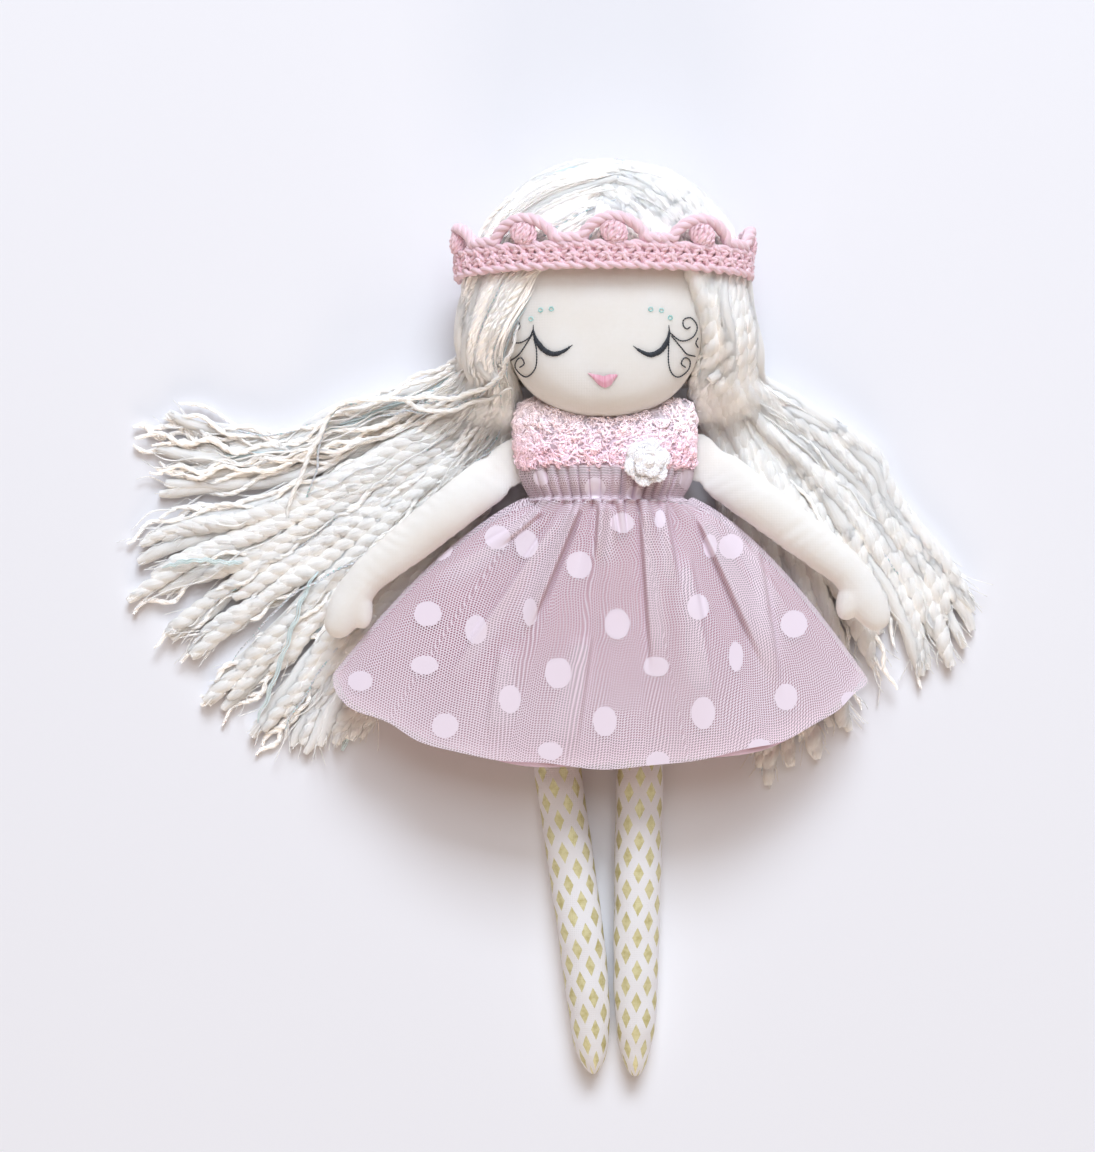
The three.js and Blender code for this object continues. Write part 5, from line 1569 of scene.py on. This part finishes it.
def strand_path(guides, across, radius, layers, wave, curl, dice, length):
    """One yarn that follows its neighbours. across picks the guides between the first and last,
    layers how deep it lies at the head and at its end, wave and curl how far it sways."""
    place = np.linspace(0, 1, GUIDE_STEPS)
    between = between_guides(guides, across)
    tuft = (math.floor(across * TUFTS) + 0.5) / TUFTS
    gathered = 0.42 * np.clip((place - 0.6) / 0.4, 0, 1)
    line = mixed(between, between_guides(guides, tuft), gathered[:, None])
    direction = np.gradient(line, axis=0)
    direction /= np.maximum(np.linalg.norm(direction, axis=1, keepdims=True), 1e-9)
    sideways = np.stack([-direction[:, 1], direction[:, 0], np.zeros(GUIDE_STEPS)], axis=1)
    loose = np.clip((place - 0.12) / 0.35, 0.12, 1)
    sway = np.zeros(GUIDE_STEPS)
    for turns in (1.3, 2.9, 5.3, 8.7):
        sway += dice.normal(0, 1 / turns) * np.sin(2 * np.pi * turns * place + dice.uniform(0, 6.3))
    kink_turns = 2 * np.pi * dice.uniform(9, 15) * place
    kinks = np.sin(kink_turns + 2 * np.sin(9 * place + dice.uniform(0, 6.3)))
    free = np.clip((place - 0.3) / 0.7, 0, 1) ** 1.3
    line = line + sideways * (wave * sway * loose + curl * kinks * (0.2 * loose + free))[:, None]
    top = line[:, 2]
    depth = np.where(top > 25, 9.0, np.where(top > 18, 9 + (25 - top) / 7 * (top - 9), top))
    layer = mixed(layers[0], layers[1], np.clip((place - 0.3) / 0.25, 0, 1))
    line[:, 2] = top - radius - (1 - layer) * np.maximum(depth - 2 * radius, 0)
    bounce = 0.8 * np.sin(2 * np.pi * dice.uniform(3, 6) * place + dice.uniform(0, 6.3)) * loose
    line[:, 2] = np.maximum(line[:, 2] + bounce * (wave + curl) / 4, radius + 0.5)
    # At the parting the yarns start on either side of it and go under their neighbours.
    begins = np.exp(-((place / 0.035) ** 2))
    line[:, 0] += dice.uniform(-7, 7) * begins
    line[:, 1] += dice.uniform(-3, 3) * begins
    line[:, 2] -= dice.uniform(1.5, 4.0) * begins
    keep = max(int(GUIDE_STEPS * min(length, 1.0)), 12)
    return line[:keep]


THINNER_END = (1.0, 0.95, 0.86, 0.74, 0.52)


def thick_and_thin(count, radius, dice, head_share):
    """A hand-spun yarn's radius along its length, drawn tight at the head, thinner at the end."""
    place = np.linspace(0, 1, count)
    radius = radius * mixed(head_share, 1.0, np.clip((place - 0.28) / 0.16, 0, 1))
    uneven = 1 + 0.1 * np.sin(2 * np.pi * dice.uniform(5, 9) * place + dice.uniform(0, 6.3))
    uneven[-len(THINNER_END) :] *= THINNER_END
    return radius * uneven


def frayed_end(path, radius, dice, count):
    """Loose fibres that stand out from the cut end of a yarn."""
    along = path[-1] - path[-5]
    along /= np.linalg.norm(along)
    side = np.cross(UP, along)
    fibres_here = []
    for _ in range(count):
        way = along + side * dice.normal(0, 0.3) + UP * dice.uniform(-0.1, 0.3)
        start = path[-7] + side * dice.uniform(-0.6, 0.6) * radius
        reach = dice.uniform(11, 18)
        t = np.linspace(0, 1, 9)[:, None]
        bend = side * dice.normal(0, 1.6) * t**2 + UP * dice.normal(0, 0.8) * t**2
        line = start + way * t * reach + bend
        line[:, 2] = np.maximum(line[:, 2], 0.5)
        fibres_here.append(line)
    return fibres_here


def blended(piece):
    """Bakes a loose piece's placement into its points."""
    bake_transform(piece)


def hair_side(side, guides, rows):
    """All the yarns of one side. Each row: its name, how many, between which guides as shares,
    radius, sway, curl, layers at the head and at the end, and how it is spun."""
    dice = np.random.default_rng(31 if side == "left" else 57)
    head_share = 0.6 if side == "left" else 0.95
    ends = []
    for kind, count, span, radius, wave, curl, at_head, at_end, dye, spun in rows:
        paths, radii = [], []
        for j in range(count):
            across = span[0] + (span[1] - span[0]) * (j + dice.uniform(0.1, 0.9)) / count
            r = radius * dice.uniform(0.82, 1.14)
            layers = (dice.uniform(*at_head), dice.uniform(*at_end))
            path = strand_path(guides, across, r, layers, wave, curl, dice, dice.uniform(0.86, 1.0))
            paths.append(path)
            radii.append(thick_and_thin(len(path), r, dice, head_share if r > 2 else 1.0))
            if kind in ("roving", "soft"):
                ends += frayed_end(path, r, dice, 5)
        piece = yarns("hair_" + side + "_" + kind, paths, radii, dye, **spun)
        blended(piece)
        if kind == "roving":
            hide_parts("hair_" + side)
    thin = [0.25] * len(ends)
    loose = yarns("hair_" + side + "_ends", ends, thin, wool, plies=1, sampling=2.4, sides=3)
    blended(loose)


ROPE = {"plies": 2, "twist": 14.0, "sampling": 2.0, "sides": 8, "apart": 0.25}
SOFT = {"plies": 1, "twist": 30.0, "sampling": 2.4, "sides": 8, "apart": 0.0}
WOOL = {"plies": 2, "twist": 10.0, "sampling": 1.8, "sides": 4, "apart": 0.4}
THIN = {"plies": 1, "twist": 9.0, "sampling": 1.9, "sides": 3, "apart": 0.0}
SPARKLING = {"plies": 2, "twist": 6.0, "sampling": 1.2, "sides": 3, "apart": 0.46}
FLAT = {"plies": 4, "twist": 60.0, "sampling": 2.2, "sides": 3, "apart": 0.68}
left_guides, right_guides = even_guides(LEFT_GUIDES, 12.0), even_guides(RIGHT_GUIDES, 6.0)
hair_side(
    "left",
    left_guides,
    [
        ("roving", 28, (0.3, 1.0), 3.7, 2.2, 0.0, (0.0, 0.5), (0.5, 1.0), roving, ROPE),
        ("soft", 30, (0.0, 1.0), 2.8, 2.6, 0.3, (0.0, 0.85), (0.0, 0.6), roving, SOFT),
        ("wool", 60, (0.0, 0.7), 1.35, 3.4, 2.1, (0.55, 1.0), (0.1, 0.95), wool, WOOL),
        ("fine", 44, (0.0, 1.0), 0.4, 3.4, 1.7, (0.7, 1.03), (0.3, 0.95), wool, THIN),
        ("glitter", 4, (0.0, 1.0), 0.6, 3.0, 0.5, (0.8, 0.95), (0.6, 1.0), glitter, SPARKLING),
        ("ribbon", 3, (0.1, 0.95), 1.2, 2.6, 0.4, (0.7, 0.9), (0.3, 0.8), ribbon, FLAT),
    ],
)
hair_side(
    "right",
    right_guides,
    [
        ("roving", 28, (0.0, 1.0), 3.7, 2.2, 0.0, (0.3, 1.0), (0.4, 1.0), roving, ROPE),
        ("soft", 26, (0.0, 1.0), 2.8, 2.6, 0.3, (0.0, 0.8), (0.0, 0.7), roving, SOFT),
        ("wool", 34, (0.0, 1.0), 1.1, 3.2, 1.2, (0.3, 0.95), (0.1, 0.85), wool, WOOL),
        ("fine", 40, (0.0, 1.0), 0.4, 3.4, 1.6, (0.5, 1.0), (0.3, 0.9), wool, THIN),
        ("glitter", 2, (0.3, 1.0), 0.6, 3.0, 0.5, (0.7, 0.9), (0.6, 1.0), glitter, SPARKLING),
        ("ribbon", 1, (0.3, 0.95), 1.2, 2.6, 0.4, (0.6, 0.8), (0.3, 0.8), ribbon, FLAT),
    ],
)

# Single yarns that lie on top of the left side, as the view shows them: pixel and height.
SPARKLING_LINES = [
    [(518, 318, 55), (512, 348, 53), (502, 376, 43), (478, 396, 28), (440, 411, 20), (402, 412, 16),
     (366, 420, 13)],
    [(468, 391, 26), (430, 402, 19), (395, 398, 16), (350, 404, 15), (325, 425, 14), (316, 470, 13),
     (302, 512, 9)],
    [(505, 440, 21), (480, 460, 19), (430, 500, 17), (385, 540, 16), (340, 570, 15), (300, 590, 14),
     (262, 625, 12), (232, 662, 9)],
]
WHITE_LINES = [
    [(512, 388, 39), (480, 401, 28), (434, 412, 20), (400, 400, 17), (338, 405, 16), (318, 440, 15),
     (298, 480, 14), (280, 540, 8)],
    [(520, 326, 56), (508, 356, 52), (496, 380, 40), (462, 396, 26), (420, 398, 19), (372, 399, 16),
     (330, 412, 12)],
]
AQUA_LINES = [
    [(318, 572, 9), (306, 590, 13), (292, 630, 13), (274, 680, 11), (257, 722, 6)],
    [(246, 560, 8), (230, 563, 12), (196, 560, 12), (162, 567, 8)],
]
LINE_STEPS = 80
dice = np.random.default_rng(17)
for kind, lines, radius, dye, spun in (
    ("sparkling", SPARKLING_LINES, 0.65, glitter, SPARKLING),
    ("white", WHITE_LINES, 1.2, roving, WOOL),
    ("aqua", AQUA_LINES, 1.1, ribbon, FLAT),
):
    paths, radii = [], []
    for line in lines:
        path = smooth_line([seen(*point) for point in line], LINE_STEPS)
        place = np.linspace(0, 1, LINE_STEPS)
        for axis in (0, 1):
            turns = dice.uniform(5, 9)
            path[:, axis] += 0.5 * np.sin(2 * np.pi * turns * place + dice.uniform(0, 6.3))
        paths.append(path)
        radii.append(radius * (1 - 0.75 * np.abs(2 * place - 1) ** 6))
    piece = yarns("hair_left_" + kind + "_line", paths, radii, dye, **spun)
    blended(piece)


def cap_path(sign, share, radius, dice):
    """One yarn round the back and top of the head, from the parting to the nape."""
    rise = math.radians(50 + 125 * share)
    over = dice.uniform(-0.16, 0.02) * sign
    start = np.array([over, math.sin(rise), math.cos(rise)])
    if share < 0.3:
        turn, low = math.radians(58 + 60 * share), math.radians(14)
    else:
        turn, low = math.radians(80 + 138 * (share - 0.3)), math.radians(-34)
    flat = math.cos(low)
    end = np.array([sign * math.sin(turn) * flat, math.sin(low), math.cos(turn) * flat])
    bend = start * 0.5 + end * 0.5 + np.array([sign * 0.35, 0.25, 0])
    t = np.linspace(0, 1, 48)[:, None]
    way = start * (1 - t) ** 2 + 2 * bend * t * (1 - t) + end * t**2
    way /= np.linalg.norm(way, axis=1, keepdims=True)
    wander = 0.012 * np.sin(2 * np.pi * dice.uniform(1, 2.5) * t + dice.uniform(0, 6.3))
    way += wander * np.array([0.4, 0.6, -0.6])
    # Both ends go under their neighbours.
    sunk = 2.2 * (np.exp(-((t / 0.06) ** 2)) + np.exp(-(((1 - t) / 0.05) ** 2)))
    shrink = 1 - (radius + dice.uniform(0, 1.4) + sunk) / 30
    size = np.concatenate([61 * (1 + shrink) / 2, HAIR_ABOVE * (1 + shrink) / 2, 30.5 * shrink], axis=1)
    line = HAIR_MIDDLE + way * size
    pressed = np.exp(-(((line[:, 1] - 76) / 9) ** 2))
    for axis in (0, 2):
        middle = HAIR_MIDDLE[axis]
        line[:, axis] = middle + (line[:, axis] - middle) * (1 - 0.05 * pressed)
    line[:, 2] = np.maximum(line[:, 2], radius + 0.15)
    return line


dice = np.random.default_rng(91)
SMOOTH = {"plies": 2, "twist": 34.0, "sampling": 2.0, "sides": 7, "apart": 0.3}
for kind, count, radius, dye, spun in (
    ("roving", 34, 3.6, roving, SMOOTH),
    ("wool", 14, 1.5, wool, WOOL),
    ("fine", 26, 0.4, wool, THIN),
    ("glitter", 2, 0.6, glitter, SPARKLING),
    ("ribbon", 2, 1.3, ribbon, FLAT),
):
    paths, radii = [], []
    for sign in (-1, 1):
        for j in range(count):
            r = radius * dice.uniform(0.88, 1.1)
            share = (j + dice.uniform(0.2, 0.8)) / count
            if kind in ("glitter", "ribbon"):
                share = share * 0.45
            paths.append(cap_path(sign, share, r * (1 if kind == "roving" else 0.9), dice))
            radii.append(r)
    piece = yarns("hair_cap_" + kind, paths, radii, dye, **spun)
    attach(piece, "body")
    if kind == "roving":
        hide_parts("hair_cap")

# Hair in front of the parting, which runs down under the crown's band.
FRONT_YARNS = 26
paths, radii = [], []
for j in range(FRONT_YARNS):
    foot = -25 + 50 * (j + dice.uniform(0.2, 0.8)) / FRONT_YARNS
    head_end = over_head(dice.uniform(-3, 5), 97 + dice.uniform(-4, 6))
    middle = over_head(foot * 0.55, 86 - abs(foot) * 0.1)
    tuck = over_head(foot, 70.5)
    line = smooth_line([head_end, middle, over_head(foot * 0.9, 76), tuck], 24)
    t = np.linspace(0, 1, 24)
    line[:, 2] -= 3.4 + dice.uniform(0, 1.5) + 2.5 * t**4 + 3.0 * np.exp(-((t / 0.16) ** 2))
    paths.append(line)
    radii.append(2.9 * dice.uniform(0.85, 1.1))
front = yarns("hair_cap_front", paths, radii, roving, **SMOOTH)
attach(front, "body")


# Face embroidery

surface = BVHTree.FromObject(head, bpy.context.evaluated_depsgraph_get())


def on_face(px, py, lift):
    """The point of the head that the view shows at a pixel, raised by lift millimetres."""
    aim = Vector((seen(px, py, 60) - CAMERA).tolist()).normalized()
    hit, normal, _, _ = surface.ray_cast(Vector((CAMERA * MM).tolist()), aim)
    return np.array(hit + normal * lift * MM) / MM


def face_line(pixels, lift, count):
    """A smooth line of thread on the face, through pixels of the view."""
    flat = smooth_line(np.array(pixels, float), count)
    return np.array([on_face(px, py, lift) for px, py in flat])


THIN_LINES = [
    [(534, 338.7), (536.6, 350.4), (535.5, 368), (525.9, 376.8), (515.7, 368), (517.1, 360),
     (521.5, 357.7), (524.5, 363.6), (520, 367.3)],
    [(512.5, 342.6), (521, 342.5), (529.6, 337.2), (533, 329.9)],
    [(511, 360.5), (520, 353.3), (532.5, 334.3)],
    [(517.1, 331.3), (520, 327), (518.6, 321)],
    [(669.7, 332.8), (680.7, 340.9), (692.4, 337.2), (696.8, 326.9), (691, 318.1), (683.6, 319.6),
     (682.9, 325.5), (686.6, 329.1), (689.8, 326.9)],
    [(671.2, 335.7), (680.7, 347.5), (686.6, 354.1), (694.6, 356.3)],
    [(697.6, 337.9), (695.4, 343.1), (697.6, 347.5)],
    [(668.7, 338.7), (668.2, 362.1), (671.9, 373.9), (679.2, 376.8), (688, 369.5), (689.5, 360.7),
     (684.4, 357.7), (680.7, 363.6), (685.1, 367.3)],
]
paths = [face_line(line, 0.18, 40) for line in THIN_LINES]
thin = [0.34] * len(paths)
scrolls = yarns("face_scrolls", paths, thin, black_floss, twist=2.4, sampling=0.5, sides=5)

LASHES = [
    [(533.3, 325.5), (533.6, 332), (536.5, 340), (543.5, 349.5), (553, 354), (563, 351.5),
     (572, 345.3)],
    [(668.7, 325.5), (668.9, 333), (666.5, 342), (660.5, 350.5), (650.6, 354.8), (641, 351.5),
     (633.5, 346.3)],
]
LASH_WIDTH = [0.5, 2.0, 4.4, 5.0, 4.6, 2.6, 0.7]
satin = []
LASH_STITCHES = 74
for line in LASHES:
    flat = smooth_line(np.array(line, float), LASH_STITCHES)
    across = np.gradient(flat, axis=0)
    across = np.stack([-across[:, 1], across[:, 0]], axis=1)
    across /= np.linalg.norm(across, axis=1, keepdims=True)
    width = np.interp(np.linspace(0, 6, LASH_STITCHES), range(7), LASH_WIDTH)
    for point, way, wide in zip(flat, across, width):
        wide *= chance.uniform(0.85, 1.1)
        ends = [point - way * wide / 2, point, point + way * wide / 2]
        lifts = (0.0, 0.38, 0.0)
        satin.append(np.array([on_face(*end, lift) for end, lift in zip(ends, lifts)]))
lashes = yarns("face_lashes", satin, [0.3] * len(satin), black_floss, plies=1, sampling=0.5, sides=5)

LIP_TOP = [(588.3, 373.1), (593.5, 374.6), (598.5, 374.9), (603.7, 376.3), (608.5, 374.6),
    (612.5, 374.6), (617.0, 375.0)]
LIP_LOW = [(588.3, 373.6), (593.5, 378.6), (598.5, 384.3), (604.5, 387.3), (610.0, 385.4),
    (613.5, 380.6), (617.0, 375.6)]
lip_top = smooth_line(np.array(LIP_TOP, float), 30)
lip_low = smooth_line(np.array(LIP_LOW, float), 30)
satin = []
for high, low in zip(lip_top, lip_low):
    middle = (high + low) / 2
    satin.append(np.array([on_face(*high, 0.02), on_face(*middle, 0.45), on_face(*low, 0.02)]))
lips = yarns("face_lips", satin, [0.36] * len(satin), rose_floss, plies=1, sampling=0.5, sides=5)

BROW_DOTS = ((531, 319), (540.6, 310), (551.3, 309), (650.6, 309.3), (661.3, 310.5), (670.1, 317.8))
DOT_REACH = 2.2
knots = []
for px, py in BROW_DOTS:
    for k in range(5):
        a = 2 * np.pi * k / 5 + 0.4
        first = (px + DOT_REACH * math.cos(a), py + DOT_REACH * math.sin(a))
        last = (px + DOT_REACH * math.cos(a + 1.1), py + DOT_REACH * math.sin(a + 1.1))
        middle = ((first[0] + last[0]) / 2, (first[1] + last[1]) / 2)
        knots.append(np.array([on_face(*first, 0.0), on_face(*middle, 0.35), on_face(*last, 0.0)]))
brows = yarns("face_brow_dots", knots, [0.26] * len(knots), aqua_floss, plies=1, sampling=0.5, sides=5)
for piece in (scrolls, lashes, lips, brows):
    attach(piece, "body")


# Stage



def floor_surface(tree, place):
    patches = add(tree, NOISE, {"Vector": place, "Scale": per(600)})
    return {"Base Color": add(tree, MIX, {"Factor": patches, 6: "f8f7fb", 7: "fbfafd"}, data_type="RGBA")}


# Painted board: plain, matt and nearly white.
board = material("painted_board_matt", "faf9fd", {"Roughness": 0.9}, floor_surface)
REACH, LOW = 3000, -0.1
corners = [[-REACH, -REACH, LOW], [REACH, -REACH, LOW], [REACH, REACH, LOW], [-REACH, REACH, LOW]]
floor = mesh_piece("floor", corners, [(0, 1, 2, 3)], board)


AIM = (-0.02, -0.05, 0)


def area_light(name, place, size, power, colour):
    """A soft rectangular lamp that is turned to the doll. Places and sizes are metres."""
    data = bpy.data.lights.new(name, "AREA")
    data.shape = "RECTANGLE"
    data.size, data.size_y = size
    data.energy = power
    data.color = linear(colour)[:3]
    lamp = object_of(name, data)
    lamp.location = place
    way = Vector(AIM) - Vector(place)
    lamp.rotation_euler = way.to_track_quat("-Z", "Y").to_euler()


area_light("window", (0.48, 3.9, 3.2), (2.6, 1.8), 220.0, "e4f1ff")
area_light("overhead", (0.2, 1.4, 3.05), (1.6, 1.4), 28.0, "e4f1ff")
# A pale card beyond the feet lights the chin.
area_light("card", (-0.1, -3.2, 1.1), (1.8, 0.9), 30.0, "fff1e2")

world = bpy.data.worlds.new("studio")
bpy.context.scene.world = world
world.use_nodes = True
tree = world.node_tree
tree.nodes.clear()
soft = add(tree, "ShaderNodeBackground", {"Color": "ffe2cb", "Strength": 0.27})
white = add(tree, "ShaderNodeBackground", {"Color": "fbfafd", "Strength": 1.0})
rays = add(tree, "ShaderNodeLightPath").outputs
sight = add(tree, MATH, {0: rays["Is Camera Ray"], 1: rays["Is Glossy Ray"]}, operation="MAXIMUM")
sight = add(tree, MATH, {0: sight, 1: rays["Is Transmission Ray"]}, operation="MAXIMUM")
both = add(tree, "ShaderNodeMixShader", {0: sight, 1: soft, 2: white})
add(tree, "ShaderNodeOutputWorld", {"Surface": both})

camera_data = bpy.data.cameras.new("camera")
SENSOR = 36.0
camera_data.sensor_width = SENSOR
camera_data.lens = SENSOR * (CAMERA[2] - VIEW_PLANE) / (1152 * PIXEL)
camera_data.clip_start, camera_data.clip_end = 0.01, 10.0
camera = object_of("camera", camera_data)
camera.location = CAMERA * MM
bpy.context.scene.camera = camera
bpy.context.scene.view_settings.view_transform = "Standard"
